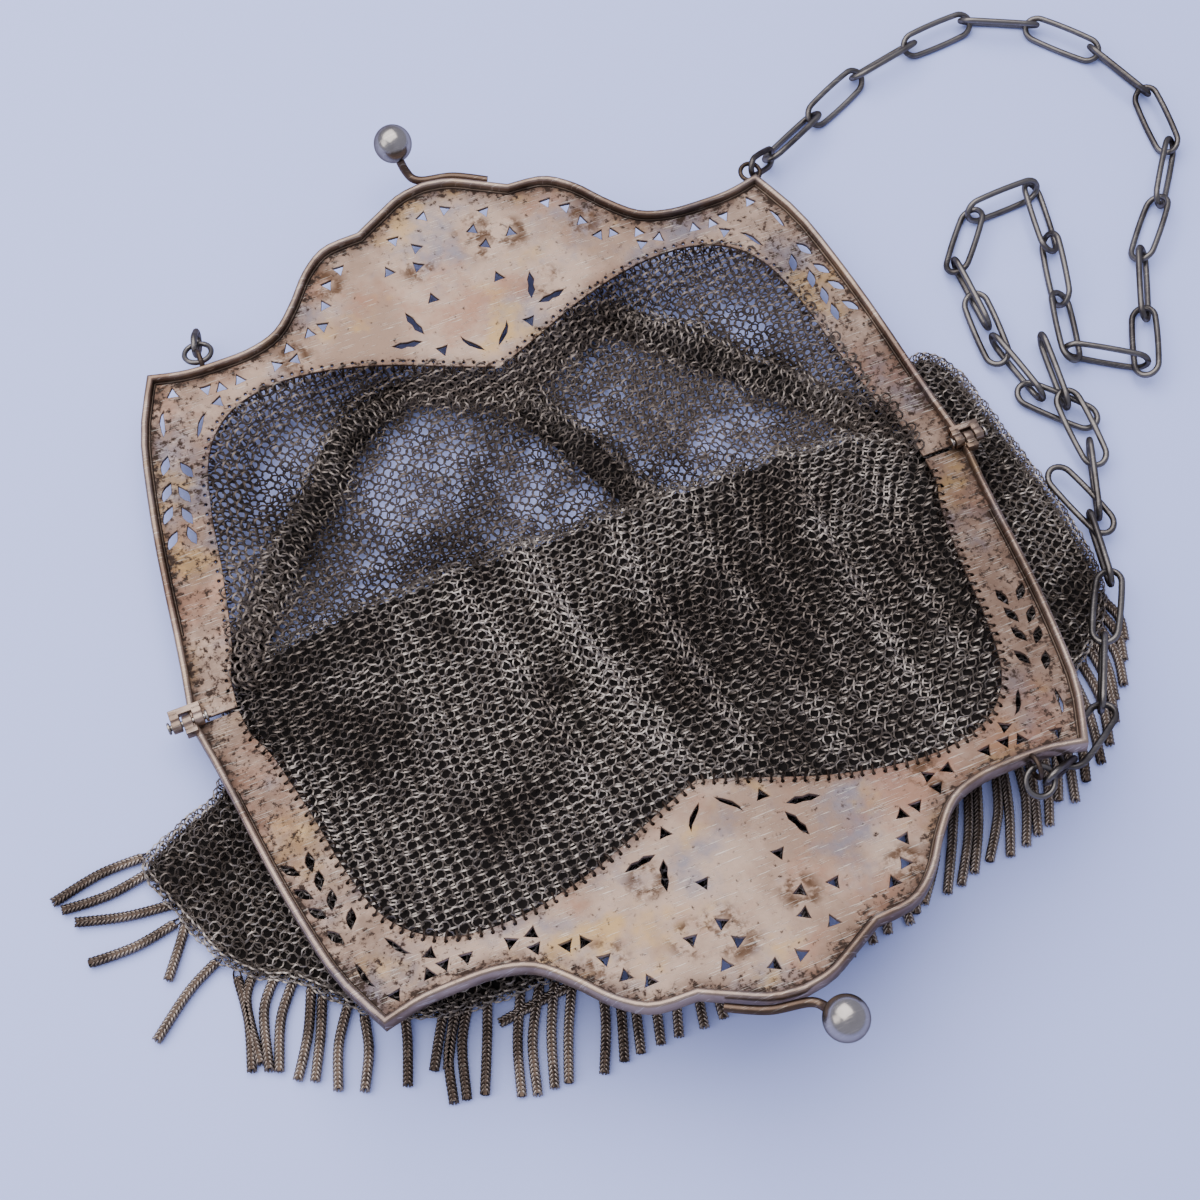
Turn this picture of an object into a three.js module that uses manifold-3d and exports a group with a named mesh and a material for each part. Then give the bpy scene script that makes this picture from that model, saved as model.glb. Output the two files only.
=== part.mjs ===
// A silver mesh evening bag lying open on a table: a pierced two-jaw frame hinged at its ends,
// a ball on an arm at each jaw's crown, a ring-mesh pouch folded beneath the frame, a fringe of
// foxtail strands along its hem, and a carrying chain of long oval links.
// Millimetres, +Z up. X runs along the hinge line, +Y towards the far jaw. The origin is on the
// table under the middle of the hinge line.

import * as THREE from 'three';
import { mergeVertices } from 'three/addons/utils/BufferGeometryUtils.js';
import Module from 'manifold-3d';

const wasm = await Module();
wasm.setup();

const DEG = Math.PI / 180;

// Driving dimensions
const FRAME = { halfSpan: 81.5, reach: 95, hingeHeight: 9, farTilt: 2, nearTilt: 14.5 };
const JAW = { plate: 0.8, rimWidth: 1.3, rimHeight: 3.6, recess: 1.75, seam: 0.5 };
const MOUTH = { halfSpan: 72.3, reach: 61.9 };
const CUT = { leaf: 5.2, leafWidth: 1.5, slot: 6, slotWidth: 1.35, chip: 2.1 };
const HINGE = { knuckleRadius: 1.4, bore: 0.95, pinRadius: 0.6, clearance: 0.35, headRadius: 1.2,
  headLength: 0.5, lug: 1.3 };
const KNUCKLE = { inset: 2.9, length: 1.8, gap: 0.35 };
const CLASP = { ballRadius: 4, wire: 1.9, strip: 14, clearance: 0.35, reach: 8.5, rise: 3.5, aside: 3 };
const EYE = { radius: 2.1, wire: 1.0 };
const RING = { radius: 2.75, wire: 1.1 };
const LINK = { length: 18.7, width: 6.5, wire: 1.3 };
const SHORT_LINK = { length: 9, width: 5.4, wire: 1.3 };
const BAG = { leftReach: 97.5, rightReach: 95, drop: 68, wall: 1.1, layers: 3.7, clearance: 0.35,
  bevel: 0.7, farWallTop: 7.2 };
const FLAP = { ridge: 11, sideRidge: 4, lift: 1.4, sag: 2.4, edgeGap: 0.45, rows: 5 };
const ROPE = { diameter: 4.2, sides: 6, steps: 7 };
const FRINGE = { strand: 22, width: 2, height: 1.7, band: 1.3, bandHeight: 1.5, gap: 0.35, lift: 0.05 };

const SILVER = { color: 0xb9a48c, roughness: 0.38, metalness: 0.85 };
const POLISHED = { color: 0x8e8a88, roughness: 0.22, metalness: 0.95 };
const CHAIN_METAL = { color: 0x5c5a5a, roughness: 0.4, metalness: 0.9 };
const MESH_METAL = { color: 0x4a443f, roughness: 0.55, metalness: 0.8 };
const FRINGE_METAL = { color: 0x6a5c4d, roughness: 0.5, metalness: 0.8 };

// Jaw outline from the hinge to the crown: shares of the half span (across) and the reach (out)
const SIDE_RUN = [
  { across: 1.0, out: 0 }, { across: 0.975, out: 0.135 }, { across: 0.945, out: 0.35 },
  { across: 0.915, out: 0.51 }, { across: 0.881, out: 0.64 }, { across: 0.82, out: 0.76 },
];
const SHOULDER_RUN = [
  { across: 0.82, out: 0.76 }, { across: 0.735, out: 0.744 }, { across: 0.65, out: 0.741 },
  { across: 0.565, out: 0.745 }, { across: 0.492, out: 0.766 }, { across: 0.43, out: 0.817 },
  { across: 0.37, out: 0.88 }, { across: 0.3, out: 0.922 }, { across: 0.205, out: 0.93 },
];
const CROWN_RUN = [
  { across: 0.205, out: 0.93 }, { across: 0.14, out: 0.96 }, { across: 0.07, out: 0.99 },
  { across: 0, out: 1.0 },
];
// Inner edge, where the mesh hangs: shares of the mouth's half span and reach
const MOUTH_RUN = [
  { across: 1.0, out: 0 }, { across: 0.99, out: 0.1 }, { across: 0.957, out: 0.207 },
  { across: 0.915, out: 0.45 }, { across: 0.888, out: 0.65 }, { across: 0.845, out: 0.83 },
  { across: 0.765, out: 0.945 }, { across: 0.65, out: 0.997 }, { across: 0.5, out: 0.998 },
  { across: 0.31, out: 0.945 }, { across: 0.11, out: 0.85 }, { across: 0, out: 0.8 },
];
// Pierced ornament of a jaw's right half, mirrored to the left: place as shares of the half span
// and reach, turn in degrees
const PIERCINGS = [
  { kind: 'slot', across: 0.04, out: 0.594, turn: 53 },
  { kind: 'chip', across: 0.117, out: 0.602, turn: -90 },
  { kind: 'leaf', across: 0.194, out: 0.641, turn: 3 },
  { kind: 'leaf', across: 0.157, out: 0.683, turn: 66 },
  { kind: 'chip', across: 0.088, out: 0.726, turn: 90 },
  { kind: 'chip', across: 0.092, out: 0.813, turn: -60 },
  { kind: 'chip', across: 0.166, out: 0.821, turn: 200 },
  { kind: 'chip', across: 0.076, out: 0.857, turn: 60 },
  { kind: 'chip', across: 0.123, out: 0.892, turn: 30 },
  { kind: 'chip', across: 0.03, out: 0.926, turn: 120 },
  { kind: 'chip', across: 0.467, out: 0.693, turn: 0 },
  { kind: 'chip', across: 0.515, out: 0.693, turn: 180 },
  { kind: 'chip', across: 0.472, out: 0.722, turn: 90 },
  { kind: 'chip', across: 0.41, out: 0.741, turn: -30 },
  { kind: 'chip', across: 0.348, out: 0.793, turn: 80 },
  { kind: 'chip', across: 0.323, out: 0.839, turn: 20 },
  { kind: 'chip', across: 0.281, out: 0.865, turn: 150 },
  { kind: 'chip', across: 0.661, out: 0.685, turn: 90 },
  { kind: 'chip', across: 0.681, out: 0.656, turn: 0 },
  { kind: 'chip', across: 0.698, out: 0.693, turn: -90 },
  { kind: 'slot', across: 0.737, out: 0.616, turn: 125 },
  { kind: 'slot', across: 0.822, out: 0.647, turn: 108 },
  { kind: 'chip', across: 0.778, out: 0.707, turn: -20 },
  { kind: 'leaf', across: 0.896, out: 0.389, turn: 128 },
  { kind: 'leaf', across: 0.886, out: 0.446, turn: 128 },
  { kind: 'leaf', across: 0.871, out: 0.495, turn: 126 },
  { kind: 'leaf', across: 0.853, out: 0.554, turn: 118 },
  { kind: 'leaf', across: 0.85, out: 0.386, turn: 82 },
  { kind: 'leaf', across: 0.845, out: 0.431, turn: 76 },
  { kind: 'leaf', across: 0.834, out: 0.479, turn: 72 },
];

// Footprint of the folded pouch: shares of its reach to either side and of its drop
const FOOTPRINT_LEFT = [
  { across: 0.75, down: -0.1 }, { across: 0.78, down: 0.06 }, { across: 0.83, down: 0.198 },
  { across: 0.91, down: 0.242 }, { across: 0.985, down: 0.296 }, { across: 1.0, down: 0.34 },
  { across: 0.965, down: 0.47 }, { across: 0.925, down: 0.61 }, { across: 0.87, down: 0.7 },
  { across: 0.8, down: 0.76 }, { across: 0.73, down: 0.865 }, { across: 0.62, down: 0.965 },
  { across: 0.45, down: 1.0 }, { across: 0.2, down: 0.99 },
];
const FOOTPRINT_RIGHT = [
  { across: 0.15, down: 0.98 }, { across: 0.42, down: 0.965 }, { across: 0.63, down: 0.9 },
  { across: 0.79, down: 0.79 }, { across: 0.905, down: 0.69 }, { across: 0.975, down: 0.59 },
  { across: 1.0, down: 0.46 }, { across: 0.992, down: 0.22 }, { across: 0.97, down: 0.03 },
  { across: 0.955, down: -0.1 }, { across: 0.94, down: -0.23 }, { across: 0.91, down: -0.315 },
  { across: 0.87, down: -0.34 }, { across: 0.83, down: -0.29 }, { across: 0.775, down: -0.14 },
];
// Upright folds of the near wall: place at the ridge and at the jaw as shares of the mouth's half
// span, height and half width in mm
const FOLDS = [
  { ridge: -0.46, jaw: -0.36, height: 1.2, half: 5 }, { ridge: -0.16, jaw: -0.04, height: 2.6, half: 5 },
  { ridge: 0.08, jaw: 0.16, height: 1.8, half: 4.5 }, { ridge: 0.3, jaw: 0.36, height: 1.4, half: 5 },
  { ridge: 0.6, jaw: 0.6, height: 2.2, half: 5 },
];
// Rope-like gathers of the far wall: shares of the mouth's half span and reach, from the ridge out
const ROPES = [
  [{ across: -0.9, out: 0.24 }, { across: -0.7, out: 0.5 }, { across: -0.5, out: 0.73 },
    { across: -0.3, out: 0.84 }, { across: -0.06, out: 0.72 }],
  [{ across: 0.02, out: 0.68 }, { across: 0.12, out: 0.5 }, { across: 0.25, out: 0.24 }],
  [{ across: 0.36, out: 0.86 }, { across: 0.5, out: 0.7 }, { across: 0.62, out: 0.55 },
    { across: 0.84, out: 0.26 }],
];
// Fringe: where a group starts and ends along the hem (0 left corner, 1 right corner), how many
// strands it has, the way they point (degrees, 270 straight down the table) and their length share
const STRANDS = [
  { from: 0.0, to: 0.03, count: 2, start: 185, end: 182, share: 0.8 },
  { from: 0.05, to: 0.075, count: 2, start: 170, end: 184, share: 0.8 },
  { from: 0.11, to: 0.13, count: 1, start: 214, end: 214, share: 0.78 },
  { from: 0.15, to: 0.23, count: 6, start: 258, end: 244, share: 0.78 },
  { from: 0.25, to: 0.28, count: 2, start: 242, end: 252, share: 0.75 },
  { from: 0.3, to: 0.36, count: 4, start: 236, end: 246, share: 0.8 },
  { from: 0.39, to: 0.46, count: 4, start: 240, end: 236, share: 0.9 },
  { from: 0.48, to: 0.6, count: 7, start: 245, end: 262, share: 0.9 },
  { from: 0.62, to: 0.72, count: 5, start: 258, end: 234, share: 0.85 },
  { from: 0.74, to: 0.84, count: 6, start: 234, end: 244, share: 0.85 },
  { from: 0.86, to: 1.0, count: 7, start: 248, end: 268, share: 0.8 },
];

// Ring loops on the jaws, as shares of the half span in each jaw's own frame, and how far the round
// rings lean out of the jaw's plane, in degrees
const FAR_EYES = [{ across: 0.815, turn: 0 }, { across: -0.685, turn: 90 }];
const NEAR_EYES = [{ across: -0.69, turn: 90 }];
const RING_LEAN = { far: -20, near: -35 };
// Places across the mouth where the near wall's fold is set out, as shares of its half span
const FOLD_STATIONS = [-1, -0.9, -0.75, -0.5, 0, 0.5, 0.75, 0.9, 1];
// Rows of the footprint tables between which the hem runs
const HEM_START = 5;
const HEM_END = 6;

// The chain from the far jaw's bail to the near jaw's ring, as it lies. Each row is one long link:
// where it ends, its roll about its own length in degrees, and where it starts if that isn't the
// end of the link before it. A third number is the height that the end is lifted off the table.
const CHAIN = [
  { from: [74.5, 79.6, 0.6], to: [88.3, 86.4], roll: -50 }, { to: [101.9, 92.8], roll: 34 },
  { to: [116.5, 96.2], roll: -56 }, { to: [131.4, 97.7], roll: 34 },
  { to: [145.1, 91.3], roll: -56 }, { to: [155, 80], roll: 34 },
  { to: [160.4, 66], roll: -56 }, { to: [158.7, 51], roll: 34 },
  { to: [149.5, 39.2], roll: -56 }, { to: [139.4, 28.7], roll: 34 },
  { from: [139.2, 28.3], to: [132.8, 15.3], roll: -56 }, { from: [133, 15.7], to: [126.4, 2.8, 1.5], roll: 25 },
  { from: [126.1, 4.9], to: [113.9, 12.8], roll: -85 }, { from: [113.4, 12.2, 1.4], to: [117.8, 25], roll: 28 },
  { from: [118, 25.2], to: [122, 38.2], roll: -60 }, { to: [124.8, 51.8], roll: 34 },
  { from: [124.4, 51.8], to: [110.1, 51], roll: -60 }, { to: [100.4, 40.1, 0.6], roll: 30 },
  { from: [100.4, 40.1], to: [100.1, 25.4], roll: -78 }, { from: [100.5, 32.4, 0.9], to: [98.9, 16, 0.9], roll: 22 },
  { from: [99.8, 20.5], to: [102.6, 6.1], roll: -80 }, { from: [100.4, 8.1, 0.7], to: [110.4, -2.9, 0.7], roll: 15 },
  { from: [109.1, 17.1], to: [106.9, 2.2], roll: -82 }, { from: [107, 3.1, 3.2], to: [106.8, -11.9, 2], roll: 8 },
  { from: [106.6, -8.9], to: [101.4, -22.4], roll: -78 }, { from: [97.2, -11.7, 2.2], to: [101.1, -26.1, 2.4], roll: 8 },
  { from: [99.1, -22.9, 0.2], to: [94.6, -37.9, 4], roll: -78 }, { from: [95, -36.8, 5.6], to: [86.2, -49.2, 8.8], roll: 20 },
  { from: [86.1, -49.1, 7], to: [77.3, -62.3, 11.2], roll: -80 }, { from: [78, -62.9, 12.8], to: [65.2, -70.2, 16.7], roll: 20 },
];
const SHORT_LINKS = [
  { name: 'bail_link_far_right', length: 14.6, from: [66.6, 73.8, 8.4], to: [75.2, 80, 0.4], roll: 66 },
  { name: 'bail_link_near_right', length: 12.6, from: [66, -70.3, 14.4], to: [57.3, -73.1, 23], roll: -88 },
  { name: 'bail_link_far_left', from: [-56.2, 75.6, 6.6], to: [-54.4, 81.4, 0.8], roll: 88 },
];

/** Points of a smooth run through table rows, scaled by the sizes that the shares follow. */
function run(rows, acrossSize, outSize, steps) {
  const curve = new THREE.SplineCurve(rows.map((row) =>
    new THREE.Vector2(row.across * acrossSize, row.out * outSize)));
  return curve.getPoints(steps);
}

/** Half of the jaw outline, from the hinge to the crown. */
function jawHalf() {
  const span = FRAME.halfSpan;
  const reach = FRAME.reach;
  return [
    ...run(SIDE_RUN, span, reach, 6),
    ...run(SHOULDER_RUN, span, reach, 12).slice(1),
    ...run(CROWN_RUN, span, reach, 3).slice(1),
  ];
}

/** A half outline joined to its mirror image: left hinge, crown, right hinge. */
function bothHalves(half) {
  const left = half.map((p) => new THREE.Vector2(-p.x, p.y));
  return [...left, ...half.slice(0, -1).reverse()];
}

const outerEdge = () => bothHalves(jawHalf());
const innerEdge = () => bothHalves(run(MOUTH_RUN, MOUTH.halfSpan, MOUTH.reach, 13));

/** Moves a line sideways by a distance, to its right as it runs, with mitred corners. */
function offsetLine(points, distance, closed = false) {
  const count = points.length;
  return points.map((p, i) => {
    const before = closed ? points[(i + count - 1) % count] : points[Math.max(i - 1, 0)];
    const after = closed ? points[(i + 1) % count] : points[Math.min(i + 1, count - 1)];
    const a = (before === p ? after.clone().sub(p) : p.clone().sub(before)).normalize();
    const b = (after === p ? a.clone() : after.clone().sub(p)).normalize();
    const along = a.clone().add(b).normalize();
    const stretch = distance / Math.max(along.dot(a), 0.5);
    return new THREE.Vector2(p.x + along.y * stretch, p.y - along.x * stretch);
  });
}

/** A closed solid for joining and cutting, from any closed three.js geometry. */
function solid(geometry) {
  const bare = geometry.clone();
  bare.deleteAttribute('normal');
  bare.deleteAttribute('uv');
  const merged = mergeVertices(bare, 1e-4);
  return new wasm.Manifold(new wasm.Mesh({
    numProp: 3,
    vertProperties: new Float32Array(merged.attributes.position.array),
    triVerts: new Uint32Array(merged.index.array),
  }));
}

/** Turns a joined or cut body back into a geometry. */
function geometryOf(body) {
  const mesh = body.getMesh();
  const geometry = new THREE.BufferGeometry();
  geometry.setAttribute('position', new THREE.BufferAttribute(new Float32Array(mesh.vertProperties), 3));
  geometry.setIndex(new THREE.BufferAttribute(new Uint32Array(mesh.triVerts), 1));
  geometry.computeVertexNormals();
  return geometry;
}

const fuse = (bodies) => bodies.reduce((sum, body) => sum.add(body));

/** A flat outline raised from one height to another, with chamfered edges if asked. */
function slab(points, bottom, top, chamfer = 0) {
  const outline = THREE.ShapeUtils.area(points) < 0 ? points.slice().reverse() : points;
  return new THREE.ExtrudeGeometry(new THREE.Shape(outline), {
    depth: top - bottom - 2 * chamfer,
    bevelEnabled: chamfer > 0,
    bevelThickness: chamfer,
    bevelSize: chamfer,
    bevelOffset: -chamfer,
    bevelSegments: 1,
  }).translate(0, 0, bottom + chamfer);
}

/** A box between two corners, its X range mirrored to one side of the hinge line's middle. */
function block(side, x0, x1, y0, y1, z0, z1) {
  return new THREE.BoxGeometry(x1 - x0, Math.abs(y1 - y0), z1 - z0)
    .translate(side * (x0 + x1) / 2, (y0 + y1) / 2, (z0 + z1) / 2);
}

/** A round bar along X, mirrored to one side of the hinge line's middle. */
function bar(side, radius, from, to, sides = 10) {
  return new THREE.CylinderGeometry(radius, radius, to - from, sides)
    .rotateZ(90 * DEG).translate(side * (from + to) / 2, 0, 0);
}

/** A wire of round section along a curve. */
function wire(curve, diameter, steps, sides = 6) {
  const section = new THREE.Shape();
  for (let i = 0; i < sides; i += 1) {
    const angle = (i / sides) * 2 * Math.PI;
    const x = Math.cos(angle) * diameter / 2;
    const y = Math.sin(angle) * diameter / 2;
    if (i === 0) section.moveTo(x, y);
    else section.lineTo(x, y);
  }
  return new THREE.ExtrudeGeometry(section, { steps, bevelEnabled: false, extrudePath: curve });
}

/** Outline of one piercing about its own middle. */
function piercing(kind) {
  if (kind === 'leaf') {
    const half = CUT.leaf / 2;
    const wide = CUT.leafWidth / 2;
    return [[-half, 0], [-half * 0.1, -wide], [half, 0], [half * 0.1, wide]];
  }
  if (kind === 'slot') {
    const half = CUT.slot / 2;
    const wide = CUT.slotWidth / 2;
    return [[-half, 0], [0, -wide], [half, 0], [0, wide * 0.4]];
  }
  return [0, 120, 240].map((a) => [Math.cos(a * DEG) * CUT.chip * 0.6, Math.sin(a * DEG) * CUT.chip * 0.6]);
}

/** All piercings of a jaw, both halves. */
function piercings() {
  const holes = [];
  for (const cut of PIERCINGS) {
    for (const side of [1, -1]) {
      const turn = cut.turn * DEG;
      holes.push(piercing(cut.kind).map(([x, y]) => new THREE.Vector2(
        side * (cut.across * FRAME.halfSpan + x * Math.cos(turn) - y * Math.sin(turn)),
        cut.out * FRAME.reach + x * Math.sin(turn) + y * Math.cos(turn),
      )));
    }
  }
  return holes;
}

/** Where a jaw's loop for a ring stands: share of the half span, just outside the rim. */
function eyePlace(across) {
  const edge = outerEdge();
  const x = across * FRAME.halfSpan;
  const next = edge.findIndex((p) => p.x >= x);
  const a = edge[next - 1];
  const b = edge[next];
  const y = a.y + (b.y - a.y) * (x - a.x) / (b.x - a.x);
  return new THREE.Vector3(x, y + EYE.radius - EYE.wire / 2, -JAW.recess);
}

/** The knuckles of one hinge end that belong to a jaw, with the lug that carries them. */
function knuckles(side, far) {
  const inner = FRAME.halfSpan - KNUCKLE.inset;
  const step = KNUCKLE.length + KNUCKLE.gap;
  const clear = HINGE.knuckleRadius + HINGE.clearance;
  const places = (far ? [0, 2] : [1]).map((slot) => inner + slot * step);
  const bodies = places.map((from) => {
    const to = from + KNUCKLE.length;
    const tube = solid(bar(side, HINGE.knuckleRadius, from, to))
      .subtract(solid(bar(side, HINGE.bore, from - 1, to + 1)));
    const neck = solid(block(side, from, to, HINGE.bore + 0.05, clear + HINGE.lug / 2, -HINGE.bore, HINGE.bore));
    return tube.add(neck);
  });
  const left = Math.min(places[0], FRAME.halfSpan - JAW.rimWidth);
  const right = places[places.length - 1] + KNUCKLE.length;
  bodies.push(solid(block(side, left, right, clear, clear + HINGE.lug, -HINGE.bore, HINGE.bore)));
  return fuse(bodies);
}

/** One pierced jaw with its rim wall, knuckles and ring loops; hinge line on X, crown towards +Y. */
function jaw(far) {
  const outer = outerEdge();
  const inner = innerEdge().reverse();
  const plate = slab([...offsetLine(outer, JAW.rimWidth / 2), ...inner], -JAW.recess - JAW.plate, -JAW.recess);
  const rim = slab([...outer, ...offsetLine(outer, JAW.rimWidth).reverse()], -JAW.rimHeight, 0);
  const clear = HINGE.knuckleRadius + HINGE.clearance;
  const seam = JAW.seam / 2;
  let body = solid(plate);
  for (const hole of piercings()) {
    body = body.subtract(solid(slab(hole, -JAW.recess - 2 * JAW.plate, -JAW.recess + JAW.plate)));
  }
  body = body.add(solid(rim));
  body = body.subtract(solid(block(1, -FRAME.reach, FRAME.reach, -seam, seam, -JAW.rimHeight * 2, JAW.rimHeight)));
  for (const side of [1, -1]) {
    const room = block(side, FRAME.halfSpan - 2 * KNUCKLE.inset, FRAME.halfSpan + 2 * KNUCKLE.inset,
      -clear, clear, -clear + 0.05, clear);
    body = body.subtract(solid(room)).add(knuckles(side, far));
  }
  for (const eye of far ? FAR_EYES : NEAR_EYES) {
    const place = eyePlace(eye.across);
    body = body.add(solid(new THREE.TorusGeometry(EYE.radius, EYE.wire / 2, 5, 10)
      .rotateY(eye.turn * DEG).translate(place.x, place.y, place.z)));
  }
  return geometryOf(body);
}

/** A hinge pin with a head at both ends. */
function hingePin(side) {
  const from = FRAME.halfSpan - KNUCKLE.inset - HINGE.clearance;
  const to = from + 3 * KNUCKLE.length + 2 * KNUCKLE.gap + 2 * HINGE.clearance;
  return geometryOf(fuse([
    solid(bar(side, HINGE.pinRadius, from - 0.1, to + 0.1)),
    solid(bar(side, HINGE.headRadius, from - HINGE.headLength, from)),
    solid(bar(side, HINGE.headRadius, to, to + HINGE.headLength)),
  ]));
}

/** A ball on its arm, which runs along the crown's outer side before it bends out. */
function clasp(aside) {
  const edge = outerEdge();
  const away = offsetLine(edge, -(CLASP.clearance + CLASP.wire / 2));
  const crown = away.filter((p) => p.x * aside < 0 && Math.abs(p.x) < CLASP.strip)
    .sort((a, b) => (a.x - b.x) * aside);
  const z = -JAW.rimHeight / 2;
  const ball = new THREE.Vector3(aside * CLASP.aside, FRAME.reach + CLASP.reach, CLASP.rise);
  const path = new THREE.CatmullRomCurve3([
    ...crown.map((p) => new THREE.Vector3(p.x, p.y, z)),
    new THREE.Vector3(0, FRAME.reach + CLASP.clearance + CLASP.wire * 0.6, z),
    new THREE.Vector3(aside * CLASP.aside * 0.7, FRAME.reach + CLASP.reach * 0.5, z * 0.4),
    ball,
  ]);
  const sphere = new THREE.SphereGeometry(CLASP.ballRadius, 12, 8).translate(ball.x, ball.y, ball.z);
  return geometryOf(solid(wire(path, CLASP.wire, 12)).add(solid(sphere)));
}

/** Footprint rows as points on the table. */
function footprint(rows, reach) {
  return rows.map((row) => new THREE.Vector2(row.across * reach, -row.down * BAG.drop));
}

/** The far jaw's inner edge as seen from above, moved inwards. */
function farMouth(distance) {
  const flat = innerEdge().map((p) => new THREE.Vector2(p.x, p.y * Math.cos(FRAME.farTilt * DEG)));
  return offsetLine(flat, BAG.clearance + distance);
}

/** How far the near wall's fold reaches past the hinge line, at a place across. */
function ridgeAt(x) {
  const share = Math.min(Math.abs(x) / MOUTH.halfSpan, 1) ** 6;
  return FLAP.ridge + (FLAP.sideRidge - FLAP.ridge) * share;
}

/** A point of the near jaw's plate, half way through its thickness, where it really stands. */
function nearPlatePoint(p) {
  const tilt = FRAME.nearTilt * DEG;
  const depth = JAW.recess + JAW.plate / 2;
  return new THREE.Vector3(p.x, -p.y * Math.cos(tilt) - depth * Math.sin(tilt),
    p.y * Math.sin(tilt) - depth * Math.cos(tilt) + FRAME.hingeHeight);
}

/** Height that the near wall's folds add at a place: share across the mouth, share from the ridge. */
function foldHeight(x, v) {
  return FOLDS.reduce((sum, fold) => {
    const middle = (fold.ridge + (fold.jaw - fold.ridge) * v) * MOUTH.halfSpan;
    const bump = Math.exp(-(((x - middle) / fold.half) ** 2));
    return sum + fold.height * bump * Math.sin(Math.PI * (0.2 + 0.75 * v));
  }, 0);
}

/** The near wall's upper sheet, from the ridge fold up to the near jaw's inner edge. */
function flap() {
  const edge = offsetLine(innerEdge(), FLAP.edgeGap).slice(1, -1);
  const low = BAG.layers + FLAP.lift;
  const rows = FLAP.rows;
  const grid = (lower) => edge.flatMap((p) => {
    const end = nearPlatePoint(p);
    const start = new THREE.Vector3(p.x, ridgeAt(p.x), low + BAG.wall);
    const points = [];
    for (let j = 0; j <= rows; j += 1) {
      const v = j / rows;
      const z = start.z + (end.z - start.z) * v ** FLAP.sag + foldHeight(p.x, v);
      points.push([p.x, start.y + (end.y - start.y) * v, z - (lower ? BAG.wall * (1 + v / 4) : 0)]);
    }
    return points;
  });
  const top = grid(false);
  const vertices = [...top, ...grid(true)].flat();
  const columns = edge.length;
  const at = (i, j, lower) => (lower ? top.length : 0) + i * (rows + 1) + j;
  const faces = [];
  const quad = (a, b, c, d) => faces.push(a, b, c, a, c, d);
  for (let i = 0; i + 1 < columns; i += 1) {
    for (let j = 0; j < rows; j += 1) {
      quad(at(i, j), at(i, j + 1), at(i + 1, j + 1), at(i + 1, j));
      quad(at(i, j, 1), at(i + 1, j, 1), at(i + 1, j + 1, 1), at(i, j + 1, 1));
    }
    quad(at(i, 0), at(i + 1, 0), at(i + 1, 0, 1), at(i, 0, 1));
    quad(at(i, rows), at(i, rows, 1), at(i + 1, rows, 1), at(i + 1, rows));
  }
  for (let j = 0; j < rows; j += 1) {
    quad(at(0, j), at(0, j, 1), at(0, j + 1, 1), at(0, j + 1));
    quad(at(columns - 1, j), at(columns - 1, j + 1), at(columns - 1, j + 1, 1), at(columns - 1, j, 1));
  }
  const geometry = new THREE.BufferGeometry();
  geometry.setAttribute('position', new THREE.BufferAttribute(new Float32Array(vertices), 3));
  geometry.setIndex(faces);
  return geometry;
}

/** The ring-mesh pouch: two layers on the table, open at the mouth, the near wall folded back. */
function pouch() {
  const sides = [
    ...footprint(FOOTPRINT_LEFT, -BAG.leftReach),
    ...footprint(FOOTPRINT_RIGHT, BAG.rightReach),
  ];
  const far = farMouth(0).reverse();
  const around = [...sides, ...far.slice(2, -2)];
  const wall = BAG.wall;
  const foldSpan = MOUTH.halfSpan - FLAP.edgeGap - wall;
  const ridgeLine = (shift) => FOLD_STATIONS.map((share) =>
    new THREE.Vector2(share * foldSpan, ridgeAt(share * foldSpan) + shift));
  const mouth = [...farMouth(wall).slice(3, -3), ...ridgeLine(0).slice(1, -1).reverse()];
  const farWall = slab([...farMouth(0), ...farMouth(wall).reverse()], 0, BAG.farWallTop);
  const fold = slab([...ridgeLine(0), ...ridgeLine(-wall * 1.2).reverse()],
    BAG.layers - wall, BAG.layers + FLAP.lift + wall * 0.6);
  let body = solid(slab(around, 0, BAG.layers, BAG.bevel));
  body = body.subtract(solid(slab(offsetLine(around, -wall, true), wall, BAG.layers - wall)));
  body = body.subtract(solid(slab(mouth, wall, BAG.farWallTop * 2)));
  body = body.add(solid(farWall)).add(solid(fold)).add(solid(flap()));
  for (const rows of ROPES) {
    const curve = new THREE.CatmullRomCurve3(rows.map((row) => new THREE.Vector3(
      row.across * MOUTH.halfSpan, row.out * MOUTH.reach, ROPE.diameter / 2)));
    body = body.add(solid(wire(curve, ROPE.diameter, ROPE.steps, ROPE.sides)));
  }
  return geometryOf(body);
}

/** A point and the outward direction at a share of the way along a line. */
function along(points, share) {
  const lengths = points.slice(1).map((p, i) => p.distanceTo(points[i]));
  let left = share * lengths.reduce((sum, length) => sum + length, 0);
  let i = 0;
  while (i < lengths.length - 1 && left > lengths[i]) {
    left -= lengths[i];
    i += 1;
  }
  return points[i].clone().lerp(points[i + 1], left / lengths[i]);
}

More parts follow.
